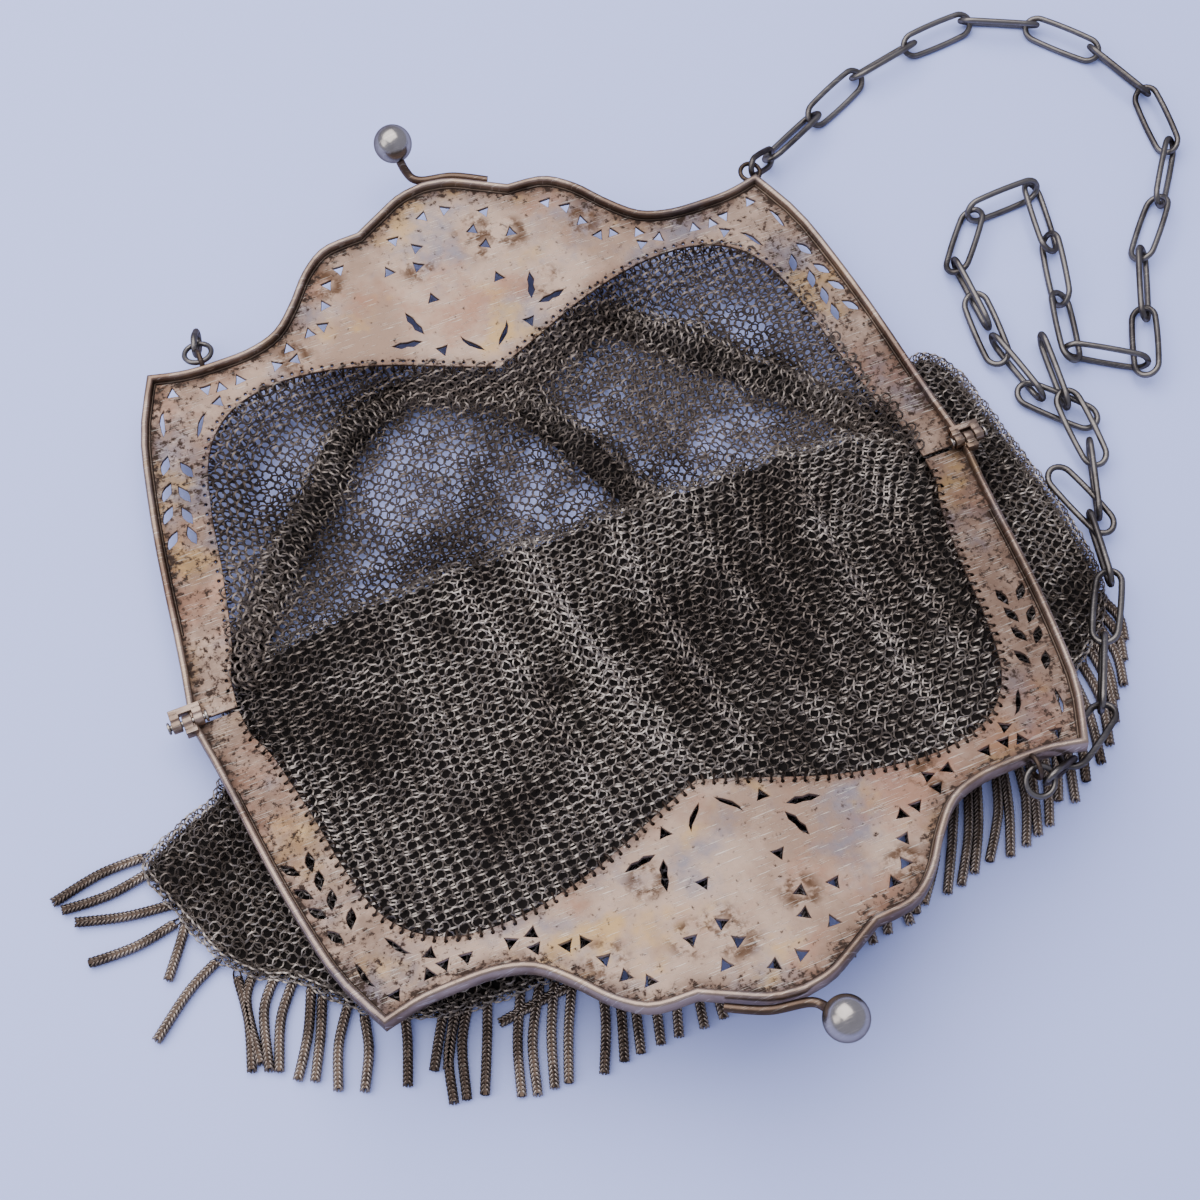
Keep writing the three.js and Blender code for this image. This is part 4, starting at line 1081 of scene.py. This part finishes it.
@dataclass
class Pouch:
    """The ring-mesh pouch: near wall folded back over a ridge, far wall as an open net, body and gathers."""

    near: Jaw
    far: Jaw
    left_reach: float = 97.5
    right_reach: float = 95
    drop: float = 68
    layers: float = 3.7
    lift: float = 1.4
    wall: float = 1.1
    ridge: float = 11
    side_ridge: float = 4
    sag: float = 2.4
    ring: float = 2.55
    wire: float = 0.34
    pitch: float = 2.8
    row: float = 1.0
    tilt: float = 34
    row_step: float = 0.22
    tuck: float = 1.3
    net_pitch: float = 2.75
    net_row: float = 1.03
    net_wire: float = 1.2
    fold_rise: float = 1.8
    sheet_depth: float = 1.7
    roll_radius: float = 1.7
    under_share: float = 0.3
    rng: np.random.Generator = field(default_factory=lambda: np.random.default_rng(7))

    def ridge_at(self, x: np.ndarray) -> np.ndarray:
        """How far the near wall's fold reaches past the hinge line."""
        share = np.minimum(np.abs(x) / self.near.mouth_span, 1) ** 6
        return self.ridge + (self.side_ridge - self.ridge) * share

    def mouth_end(self, x: np.ndarray) -> tuple[np.ndarray, np.ndarray]:
        """Where the near wall meets the near jaw: its place along Y, and its height."""
        half = smooth_run(MOUTH_RUN, self.near.mouth_span, self.near.mouth_reach, 60)[::-1]
        out = np.interp(np.abs(x), half[:, 0], half[:, 1])
        tilt = math.radians(self.near.tilt)
        deep = self.near.recess + self.near.plate / 2
        height = out * math.sin(tilt) - deep * math.cos(tilt) + self.near.hinge_height
        return -out * math.cos(tilt) - deep * math.sin(tilt), height

    def fold(self, x: np.ndarray, v: np.ndarray) -> np.ndarray:
        """Height of the upright folds at a place."""
        total = np.zeros_like(x)
        for at_ridge, at_jaw, height, half in FOLDS:
            away = (x - (at_ridge + (at_jaw - at_ridge) * v) * self.near.mouth_span) / half
            across = np.exp(-np.abs(away + 0.12 * np.sin(v * 9)) ** 1.6)
            total += self.fold_rise * height * across * np.sin(np.pi * (0.2 + 0.75 * v))
        ripple = 0.28 * np.sin(x * 0.62 + v * 3.1) * np.sin(np.pi * v) + 0.2 * np.sin(x * 1.07 - v * 5)
        return total + ripple * np.clip(v * 4, 0, 1)

    def near_height(self, x: np.ndarray, y: np.ndarray) -> np.ndarray:
        """Height of the near wall's upper surface."""
        end_y, end_z = self.mouth_end(x)
        start = self.layers + self.lift + self.wall
        v = np.clip((self.ridge_at(x) - y) / np.maximum(self.ridge_at(x) - end_y, 1), 0, 1)
        return start + (end_z - start) * v**self.sag + self.fold(x, v)

    def ring_mesh(self, name: str, x: np.ndarray, y: np.ndarray, z: np.ndarray, normal: np.ndarray,
                  along: np.ndarray, odd: np.ndarray, tilt: float, thick: float = 1.0) -> bpy.types.Mesh:
        """Rings of one stretch of mesh, neighbouring rows leaning opposite ways.

        Args:
            name: name for the mesh.
            x: places along X in mm.
            y: places along Y in mm.
            z: heights in mm.
            normal: which way the mesh faces at each place.
            along: the row's direction at each place.
            odd: which rows lean back.
            tilt: how far they lean, in degrees.
            thick: wire thickness as a share of the usual one.

        Returns:
            The joined mesh.
        """
        count = len(x)
        lean_spread, normal_spread, place_spread = 9, 0.13, 0.12
        lean = np.radians(np.where(odd, tilt, -tilt) + self.rng.normal(0, lean_spread, count))
        axes = turned(frames(normal + self.rng.normal(0, normal_spread, (count, 3)), along), lean)
        step = np.where(odd, self.row_step, -self.row_step)
        places = np.stack([x, y, z + step], 1) + self.rng.normal(0, place_spread, (count, 3))
        wire = self.wire * thick
        radius = (self.ring - wire) / 2 * MM
        template = torus_template(radius, wire * MM, RING_SEGMENTS, RING_SIDES)
        return scatter(name, template, places * MM, axes)

    def near_wall(self, finishes: Finishes) -> list[bpy.types.Object]:
        """The near wall's rings over a dark sheet that paints the shade between them, rolled over the ridge.

        Args:
            finishes: the bag's materials.

        Returns:
            The sheet and the rings.
        """
        span = self.near.mouth_span - 0.2
        usual_length = 72
        rows = []
        fine = np.linspace(-span, span, 900)
        for k in range(-3, 80):
            down = k * self.row
            v = np.clip(np.full_like(fine, max(down, 0) / usual_length), 0, 1)
            slope = np.gradient(self.fold(fine, v), fine)
            length = np.concatenate([[0], np.cumsum(np.sqrt(1 + slope[1:] ** 2) * np.diff(fine))])
            at = np.arange((k % 2) * self.pitch / 2, length[-1], self.pitch)
            x = np.interp(at, length, fine)
            rows.append(np.stack([x, np.full_like(x, down), np.full_like(x, k % 2)], 1))
        spots = np.vstack(rows)
        x, down, odd = spots[:, 0], spots[:, 1], spots[:, 2] > 0.5
        y = self.ridge_at(x) - down
        end_y, _ = self.mouth_end(x)
        keep = y > end_y - self.tuck
        x, y, down, odd = x[keep], y[keep], down[keep], odd[keep]
        end_y, _ = self.mouth_end(x)
        under_plate = np.clip(0.7 - (y - end_y) / 1.2, 0, 1)
        z = self.near_height(x, y) - 0.25 - 0.85 * under_plate
        dzdx, dzdy = slopes(self.near_height, x, y, 0.4)
        normal = np.stack([-dzdx, -dzdy, np.ones_like(x)], 1)
        roll = down < 0
        turn = np.clip(-down / self.roll_radius, 0, 2.2)
        y = np.where(roll, self.ridge_at(x) + self.roll_radius * np.sin(turn), y)
        z = np.where(roll, z - self.roll_radius * (1 - np.cos(turn)), z)
        normal[roll] = np.stack([np.zeros(roll.sum()), np.sin(turn[roll]), np.cos(turn[roll])], 1)
        along = np.stack([np.ones_like(x), np.zeros_like(x), dzdx], 1)
        rings = self.ring_mesh("near_rings", x, y, z, normal, along, odd, self.tilt)
        wall = add_piece("near_wall_rings", rings, finishes["ring"], 80)
        sheet = self.near_sheet(finishes)
        return [sheet, wall]

    def near_sheet(self, finishes: Finishes) -> bpy.types.Object:
        """A dark sheet under the near wall's rings, from the ridge to the jaw: painted shade in the gaps
        between the rings.
        """
        bm = bmesh.new()
        bmesh.ops.create_grid(bm, x_segments=150, y_segments=40, size=0.5)
        span = self.near.mouth_span - 0.4
        flat = np.array([v.co[:2] for v in bm.verts])
        x = flat[:, 0] * 2 * span
        end_y, _ = self.mouth_end(x)
        top = self.ridge_at(x) + 0.2
        y = top + (end_y - self.tuck - top) * (0.5 - flat[:, 1])
        z = self.near_height(x, y) - self.sheet_depth
        for vert, *spot in zip(bm.verts, x, y, z):
            vert.co = Vector([float(c) for c in spot]) * MM
        mesh = mesh_from(bm, "near_sheet")
        return add_piece("near_wall_sheet", mesh, finishes["backing"], 60)

    def far_reach(self, x: np.ndarray, y: np.ndarray) -> np.ndarray:
        """Distance from the far jaw's inner edge, seen from above."""
        edge = self.far.inner_edge()
        return reach_to(np.stack([x, y], 1), edge * [1, math.cos(math.radians(self.far.tilt))])

    def far_height(self, x: np.ndarray, y: np.ndarray) -> np.ndarray:
        """Height of the far wall's net: on the table, and up to the jaw near its edge."""
        away = self.far_reach(x, y)
        on_table, climb, fade = 1.6, 6.6, 5.6
        return on_table + climb * np.exp(-((away / fade) ** 1.5)) + 0.25 * np.sin(x * 0.5) * np.cos(y * 0.4)

    def far_net(self, finishes: Finishes) -> list[bpy.types.Object]:
        """The far wall as an open net of rings, through which the table shows. Its rings take a darker copy
        of the ring metal, which paints the shade the net lies in.

        A second, partial layer makes it denser in places and close to the jaw. Its piece is called
        under rings, but it lies half a millimetre above the first layer.

        Args:
            finishes: the bag's materials.

        Returns:
            The first layer and the second.
        """
        tilt = 20
        edge = self.far.inner_edge()
        spots = staggered(-73, 73, 3, 67, self.net_pitch, self.net_row)
        spots[:, 1] += 1.1 * np.sin(spots[:, 0] * 0.05) + 0.4 * np.sin(spots[:, 0] * 0.23)
        spots[:, 0] += 0.9 * np.sin(spots[:, 1] * 0.16 + 0.6)
        around = np.vstack([edge, [[73, -2], [-73, -2]]])
        spots = spots[inside(spots[:, :2], around)]
        x, y, odd = spots[:, 0], spots[:, 1], spots[:, 2] > 0.5
        z = self.far_height(x, y)
        dzdx, dzdy = slopes(self.far_height, x, y, 0.5)
        normal = np.stack([-dzdx, -dzdy, np.ones_like(x)], 1)
        along = np.tile([1.0, 0, 0], (len(odd), 1))
        rings = self.ring_mesh("net_rings", x, y, z, normal, along, odd, tilt, self.net_wire)
        near_jaw = 0.8 * np.exp(-self.far_reach(x, y) / 9)
        cover = np.sin(x * 0.11 + 1.2) * np.cos(y * 0.13 - x * 0.05) + near_jaw
        least, steep = 0.22, 0.5
        chance = np.clip(0.5 + 0.8 * cover, least, 1.0)
        more = (self.rng.random(len(x)) < chance) | (np.hypot(dzdx, dzdy) > steep)
        shift = (1.38, 0.1, 0.5)
        under = self.ring_mesh("net_under_rings", x[more] + shift[0], y[more] + shift[1], z[more] + shift[2],
                               normal[more], along[more], odd[more], tilt, self.net_wire * 1.15)
        second = add_piece("far_net_under_rings", under, finishes["net"], 80)
        first = add_piece("far_net_rings", rings, finishes["net"], 80)
        return [first, second]

    def gathers(self, finishes: Finishes) -> list[bpy.types.Object]:
        """The bunched folds of the far wall: rings in a darker copy of the ring metal over flattened dark
        cores, both of which paint the shade inside the bunches.

        Args:
            finishes: the bag's materials.

        Returns:
            The rings and the cores.
        """
        ring_base, core_height = 1.75, 1.9
        section = [(3.1 * math.cos(t), 1.25 * math.sin(t)) for t in np.arange(12) * math.pi / 6]
        places, normals, alongs, odds, cores = [], [], [], [], []
        for g, rows in enumerate(GATHERS):
            path = smooth_path(np.array(rows, float), 60)
            spots, way = even_points(path, self.row)
            aside = np.stack([-way[:, 1], way[:, 0]], 1)
            for i, (spot, out) in enumerate(zip(spots, aside)):
                half = 3.9 + 0.9 * math.sin(i * 0.31 + g) + 0.5 * math.sin(i * 0.83 + 2 * g)
                high = 3.1 + 0.6 * math.sin(i * 0.23 + 2 * g)
                angles = np.linspace(-1.4, 1.4, 6) + (i % 2) * 0.24 + 0.15 * math.sin(i * 0.5)
                for a in angles:
                    wave = 1 + 0.2 * math.sin(a * 6 + i * 0.16)
                    p = spot + out * half * math.sin(a) * wave
                    places.append((p[0], p[1], ring_base + high * max(math.cos(a), 0.0) * wave))
                    normals.append(np.array([*(out * math.sin(a)), math.cos(a) * 1.3]))
                    alongs.append(np.array([*(out * math.cos(a)), -math.sin(a) * 0.8]))
                    odds.append(i % 2 == 1)
            core = np.hstack([path, np.full((len(path), 1), core_height)])
            cores.append(curve_mesh("core", [core * MM], closed=False, radius=1.0 * MM, resolution=2,
                                    section=section_curve(section)))
        p = np.array(places)
        rings = self.ring_mesh("gather_rings", p[:, 0], p[:, 1], p[:, 2], np.array(normals), np.array(alongs),
                               np.array(odds), self.tilt)
        bunch = add_piece("gather_rings", rings, finishes["gather"], 80)
        inner = add_piece("gather_cores", joined(cores, "cores"), finishes["backing"], 60)
        return [bunch, inner]

    def footprint(self) -> np.ndarray:
        """The pouch's outline on the table in mm, left side, hem, right side."""
        left = np.array(FOOTPRINT_LEFT) * [-self.left_reach, -self.drop]
        right = np.array(FOOTPRINT_RIGHT) * [self.right_reach, -self.drop]
        return np.vstack([left, right])

    def body(self, finishes: Finishes) -> list[bpy.types.Object]:
        """The folded body under the frame: a dark core that paints the shade inside the folded layers, with
        rings over its top and its edge.

        Args:
            finishes: the bag's materials.

        Returns:
            The core, the rings on top, the rings under them and the rings at the edge.
        """
        core_inset, core_height, closed_inset, mouth_inset, tilt_of_rings = 0.7, 0.95, 0.3, 15, 26
        around = smooth_path(self.footprint(), 160)
        core = offset_line(around, -core_inset)
        mesh = curve_mesh("body", [core * MM], flat=True, extrude=0.3 * MM, radius=0.4 * MM, resolution=1)
        mesh.transform(Matrix.Translation((0, 0, core_height * MM)))
        inner = add_piece("pouch_core", mesh, finishes["backing"], 60, ("mesh_pouch",))
        spots = staggered(-99, 97, -68.5, 99, self.pitch, self.row)
        spots[:, 1] += 0.5 * np.sin(spots[:, 0] * 0.11)
        closed = offset_line(around, -closed_inset)
        shorter = math.cos(math.radians(self.near.tilt))
        mouth = offset_line(self.near.inner_edge(), mouth_inset) * [1, -shorter]
        hidden = inside(spots[:, :2], np.vstack([mouth, [[66, 22], [-66, 22]]]))
        back = (spots[:, 1] > 3) & (np.abs(spots[:, 0]) < 78)
        spots = spots[inside(spots[:, :2], closed) & ~hidden & ~back]
        x, y, odd = spots[:, 0], spots[:, 1], spots[:, 2] > 0.5
        away = reach_to(spots[:, :2], around)
        z = 3.2 - 1.7 * np.exp(-((away / 2.4) ** 2)) + 0.3 * np.sin(x * 0.7 + y * 0.3)
        normal = np.stack([0.12 * np.sin(x * 0.9), 0.12 * np.sin(y * 0.8), np.ones_like(x)], 1)
        along = np.tile([1.0, 0, 0], (len(x), 1))
        rings = self.ring_mesh("body_rings", x, y, z, normal, along, odd, tilt_of_rings)
        top = add_piece("pouch_rings", rings, finishes["ring"], 80)
        # The lower rings take the darker net finish: painted shade under the top rings.
        kept = self.rng.random(len(x)) < self.under_share
        under = self.ring_mesh("under_rings", x[kept] + 0.8, y[kept] + 0.5, z[kept] * 0.62, normal[kept],
                               along[kept], ~odd[kept], tilt_of_rings)
        lower = add_piece("pouch_under_rings", under, finishes["net"], 80)
        side = add_piece("pouch_edge_rings", self.edge_rings(around), finishes["ring"], 80)
        return [inner, top, lower, side]

    def edge_rings(self, around: np.ndarray) -> bpy.types.Mesh:
        """Rings that stand round the body's edge, in three rows from the table up."""
        heights = (1.75, 2.1, 2.5)
        past_edge, row_inset = 0.5, 0.6
        x, y, z, normal, along, odd = [], [], [], [], [], []
        for k, height in enumerate(heights):
            spots, way = even_points(offset_line(around, past_edge - row_inset * k), self.pitch * 0.55)
            for spot, dirn in zip(spots, way):
                out = np.array([-dirn[1], dirn[0]])
                x.append(spot[0])
                y.append(spot[1])
                z.append(height)
                normal.append([out[0] * 0.8, out[1] * 0.8, 1.0])
                along.append([dirn[0], dirn[1], 0])
                odd.append(k % 2 == 1)
        return self.ring_mesh("edge_rings", np.array(x), np.array(y), np.array(z), np.array(normal, float),
                              np.array(along, float), np.array(odd), 20)

    def build(self, finishes: Finishes) -> list[bpy.types.Object]:
        """Makes the whole pouch.

        Args:
            finishes: the bag's materials.

        Returns:
            The pieces.
        """
        sheet, rings = self.near_wall(finishes)
        net = self.far_net(finishes)
        bunches = self.gathers(finishes)
        body = self.body(finishes)
        return [sheet, rings, *net, *bunches, *body]


# Fringe


@dataclass
class Fringe:
    """Foxtail strands, each a woven braid of small slanted grains, hung by a thin ring."""

    step: float = 0.78
    grain: tuple[float, float, float] = (1.55, 0.62, 0.75)
    slant: float = 33
    rest: float = 0.95
    hook_radius: float = 1.15
    hook_wire: float = 0.34

    def build(self, finishes: Finishes) -> list[bpy.types.Object]:
        """Makes all strands and the rings they hang by.

        Args:
            finishes: the bag's materials.

        Returns:
            The pieces.
        """
        hook_height, core_radius, aside, above = 1.1, 0.72, 0.48, 0.34
        c, s = math.cos(math.radians(self.slant)), math.sin(math.radians(self.slant))
        places, axes, cores, hooks, hook_axes = [], [], [], [], []
        for rows in STRANDS:
            path = smooth_path(np.array(rows, float), 24)
            hooks.append([*(path[0]), hook_height])
            start = path[1] - path[0]
            start /= np.linalg.norm(start)
            hook_axes.append(frames(np.array([[start[1], -start[0], 0.9]]), np.array([[*start, 0.0]]))[0])
            spots, way = even_points(path[1:], self.step)
            for spot, dirn in zip(spots, way):
                side = np.array([-dirn[1], dirn[0]])
                for hand, face in ((1, 1), (1, -1), (-1, 1), (-1, -1)):
                    aim = dirn * c + side * hand * face * s
                    tip = np.array([aim[0], aim[1], -0.25 * face])
                    up = np.array([side[0] * hand * 0.55, side[1] * hand * 0.55, face])
                    places.append([*(spot + side * hand * aside), self.rest + face * above])
                    axes.append(frames(up[None], tip[None])[0])
            line = np.hstack([path[1:], np.full((len(path) - 1, 1), self.rest)])
            cores.append(curve_mesh("core", [line * MM], closed=False, radius=core_radius * MM, resolution=1))
        template = grain_template(*(v * MM for v in self.grain))
        grains = scatter("grains", template, np.array(places) * MM, np.array(axes))
        braid = add_piece("fringe_strands", grains, finishes["fringe"], 80, ("fringe",))
        inner = add_piece("fringe_cores", joined(cores, "cores"), finishes["loop"], 60)
        hook = torus_template(self.hook_radius * MM, self.hook_wire * MM, 12, 5)
        hang = scatter("hooks", hook, np.array(hooks) * MM, np.array(hook_axes))
        rings = add_piece("fringe_rings", hang, finishes["loop"], 80)
        return [braid, inner, rings]


# Chain


@dataclass
class Chain:
    """The carrying chain of long oval links, with the shorter links at the jaws."""

    length: float = 18.7
    width: float = 6.5
    short_width: float = 5.4
    wire: float = 1.3
    taper: float = 0.14
    ring: float = 2.75
    ring_wire: float = 1.1

    def oval(self, length: float, width: float) -> bpy.types.Mesh:
        """A smooth oval link lying in the XY plane, long side on X."""
        radius = (width - self.wire) / 2
        half = (length - width) / 2
        turn = np.linspace(-math.pi / 2, math.pi / 2, 13)
        right = np.stack([half + radius * np.cos(turn), radius * np.sin(turn)], 1)
        side = np.stack([np.linspace(half, -half, 7)[1:-1], np.full(5, radius)], 1)
        line = np.vstack([right, side, right * [-1, -1], side * [-1, -1]])
        line[:, 1] *= 1 - self.taper * (line[:, 0] / (half + radius)) ** 2
        line = np.hstack([line, np.zeros((len(line), 1))])
        return curve_mesh("link", [line * MM], radius=self.wire / 2 * MM, resolution=3)

    def lay(self, length: float, width: float, start: tuple[float, ...], end: tuple[float, ...],
            roll: float) -> bpy.types.Mesh:
        """A link between two places, rolled about its own length.

        Args:
            length: the link's length in mm.
            width: its width in mm.
            start: one end on the table. A third number lifts it.
            end: the other end, written the same way.
            roll: how far it is rolled, in degrees.

        Returns:
            The mesh, with its low side on the table where no end is lifted.
        """
        angle = math.radians(roll)
        rest = (width - self.wire) / 2 * abs(math.sin(angle)) + self.wire / 2
        a = Vector((start[0], start[1], (start[2] if len(start) > 2 else 0) + rest))
        b = Vector((end[0], end[1], (end[2] if len(end) > 2 else 0) + rest))
        along = (b - a).normalized()
        side = Vector((0, 0, 1)).cross(along).normalized()
        up = along.cross(side)
        turn = Matrix((along, side, up)).transposed().to_4x4() @ Matrix.Rotation(angle, 4, "X")
        mesh = self.oval(length, width)
        mesh.transform(Matrix.Translation((a + b) / 2 * MM) @ turn)
        return mesh

    def thread_ring(self, jaw: Jaw, across: float, lean: float) -> bpy.types.Mesh:
        """A round ring threaded through a jaw's loop."""
        tip = math.radians(lean)
        place = jaw.eye_place(across) + [0, self.ring * math.cos(tip), self.ring * math.sin(tip)]
        axes = np.array(Matrix.Rotation(tip, 3, "X"))[None]
        template = torus_template(self.ring * MM, self.ring_wire * MM, 28, 8)
        mesh = scatter("ring", template, place[None] * MM, axes)
        mesh.transform(jaw.place())
        return mesh

    def build(self, finishes: Finishes, near: Jaw, far: Jaw) -> list[bpy.types.Object]:
        """Makes every link and ring.

        Args:
            finishes: the bag's materials.
            near: the jaw towards the camera.
            far: the other jaw.

        Returns:
            The pieces.
        """
        made = []
        before: tuple[float, ...] = ()
        for i, (start, end, roll) in enumerate(CHAIN):
            mesh = self.lay(self.length, self.width, start or before, end, roll)
            node = f"chain_link_{i + 1:02d}"
            made.append(add_piece(f"smooth_{node}", mesh, finishes["chain"], 80, (node,)))
            before = end
        for name, length, start, end, roll in BAILS:
            mesh = self.lay(length, self.short_width, start, end, roll)
            made.append(add_piece(f"smooth_{name}", mesh, finishes["chain"], 80, (name,)))
        threaded = (("ring_far_left", far, -0.685, -20), ("ring_near_right", near, -0.69, -35))
        for name, jaw, across, lean in threaded:
            mesh = self.thread_ring(jaw, across, lean)
            made.append(add_piece(f"smooth_{name}", mesh, finishes["chain"], 80, (name,)))
        return made


# Table, light and camera


@dataclass
class Studio:
    """The pale table, the soft light and the camera of the photograph."""

    spot: tuple[float, float, float] = (-0.0650735, -0.133944, 0.3515745)
    right: tuple[float, float, float] = (0.92428664, -0.38043937, 0.03098532)
    up: tuple[float, float, float] = (0.34012184, 0.857732, 0.3855035)
    back: tuple[float, float, float] = (-0.17323781, -0.34577695, 0.92218597)
    lens: float = 57.756
    sensor: float = 36
    floor: tuple[int, int, int] = (190, 200, 255)
    floor_rough: float = 0.6
    sky: tuple[int, int, int] = (208, 215, 242)
    sky_power: float = 0.84

    def build(self) -> None:
        """Makes the table, the lights and the camera."""
        scene = bpy.context.scene
        bm = bmesh.new()
        bmesh.ops.create_grid(bm, x_segments=1, y_segments=1, size=2.0)
        mesh = mesh_from(bm, "table")
        table = bpy.data.objects.new("table", mesh)
        scene.collection.objects.link(table)
        paint = bpy.data.materials.new("table_paint")
        paint.use_nodes = True
        shader = paint.node_tree.nodes["Principled BSDF"]
        shader.inputs["Base Color"].default_value = rgb(*self.floor)
        shader.inputs["Roughness"].default_value = self.floor_rough
        mesh.materials.append(paint)
        table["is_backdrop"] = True
        self.light("overhead", (-0.12, 0.36, 0.85), (0, 0, 0), 1.15, 14.5)
        self.light("window_side", (-0.9, 0.1, 0.6), (0, 0, 0), 0.6, 3)
        world = bpy.data.worlds.new("room")
        scene.world = world
        world.use_nodes = True
        sky = world.node_tree.nodes["Background"]
        sky.inputs["Color"].default_value = rgb(*self.sky)
        sky.inputs["Strength"].default_value = self.sky_power
        camera = bpy.data.objects.new("camera", bpy.data.cameras.new("camera"))
        camera.data.lens = self.lens
        camera.data.sensor_width = self.sensor
        camera.data.clip_start = 0.01
        axes = Matrix((self.right, self.up, self.back)).transposed().to_4x4()
        camera.matrix_world = Matrix.Translation(self.spot) @ axes
        scene.collection.objects.link(camera)
        scene.camera = camera

    def light(self, name: str, place: tuple[float, float, float], aim: tuple[float, float, float],
              size: float, power: float) -> None:
        """Adds one square soft light.

        Args:
            name: its name.
            place: where it hangs, in metres.
            aim: the point it faces.
            size: the side of its square.
            power: its power in watts.
        """
        data = bpy.data.lights.new(name, "AREA")
        data.size = size
        data.energy = power
        lamp = bpy.data.objects.new(name, data)
        lamp.location = place
        lamp.rotation_euler = (Vector(aim) - Vector(place)).to_track_quat("-Z", "Y").to_euler()
        bpy.context.scene.collection.objects.link(lamp)


@dataclass
class Pins:
    """The two hinge pins with their round heads."""

    radius: float = 0.6
    head: float = 1.2
    head_length: float = 0.5

    def build(self, finishes: Finishes) -> list[bpy.types.Object]:
        """Makes both pins.

        Args:
            finishes: the bag's materials.

        Returns:
            The pieces.
        """
        made = []
        overlap, bar_edge, head_edge = 0.1, 0.05, 0.2
        start = HALF_SPAN - KNUCKLE_INSET - KNUCKLE_GAP
        end = start + 3 * KNUCKLE_LENGTH + 2 * KNUCKLE_GAP + 2 * KNUCKLE_GAP
        bars = ((self.radius, start - overlap, end + overlap, bar_edge),
                (self.head, start - self.head_length, start, head_edge),
                (self.head, end, end + self.head_length, head_edge))
        for side, word in ((-1, "left"), (1, "right")):
            bm = bmesh.new()
            for radius, x0, x1, edge in bars:
                round_bar(bm, side * (x0 + x1) / 2, x1 - x0, radius, edge)
            mesh = mesh_from(bm, "pin")
            mesh.transform(Matrix.Translation((0, 0, HINGE_HEIGHT * MM)))
            node = f"hinge_pin_{word}"
            made.append(add_piece(f"{node}_dressed", mesh, finishes["pin"], 40, (node,)))
        return made


def main() -> None:
    """Builds the bag piece by piece over its frame and logs the triangles of each piece and of the whole."""
    logging.basicConfig(level=logging.INFO, format="%(name)s %(message)s")
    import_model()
    Studio().build()
    finishes = Finishes()
    far = Jaw(Side.FAR, 2, ((0.815, 0), (-0.685, 90)))
    near = Jaw(Side.NEAR, 14.5, ((-0.69, 90),))
    for assembly in (far, near, Clasp(far), Clasp(near), Pins(), Fringe()):
        assembly.build(finishes)
    Chain().build(finishes, near, far)
    Pouch(near, far).build(finishes)
    total = sum(len(o.data.loops) - 2 * len(o.data.polygons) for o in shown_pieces() if o.type == "MESH")
    LOG.info("whole bag: %d triangles", total)


if __name__ == "__main__":
    main()
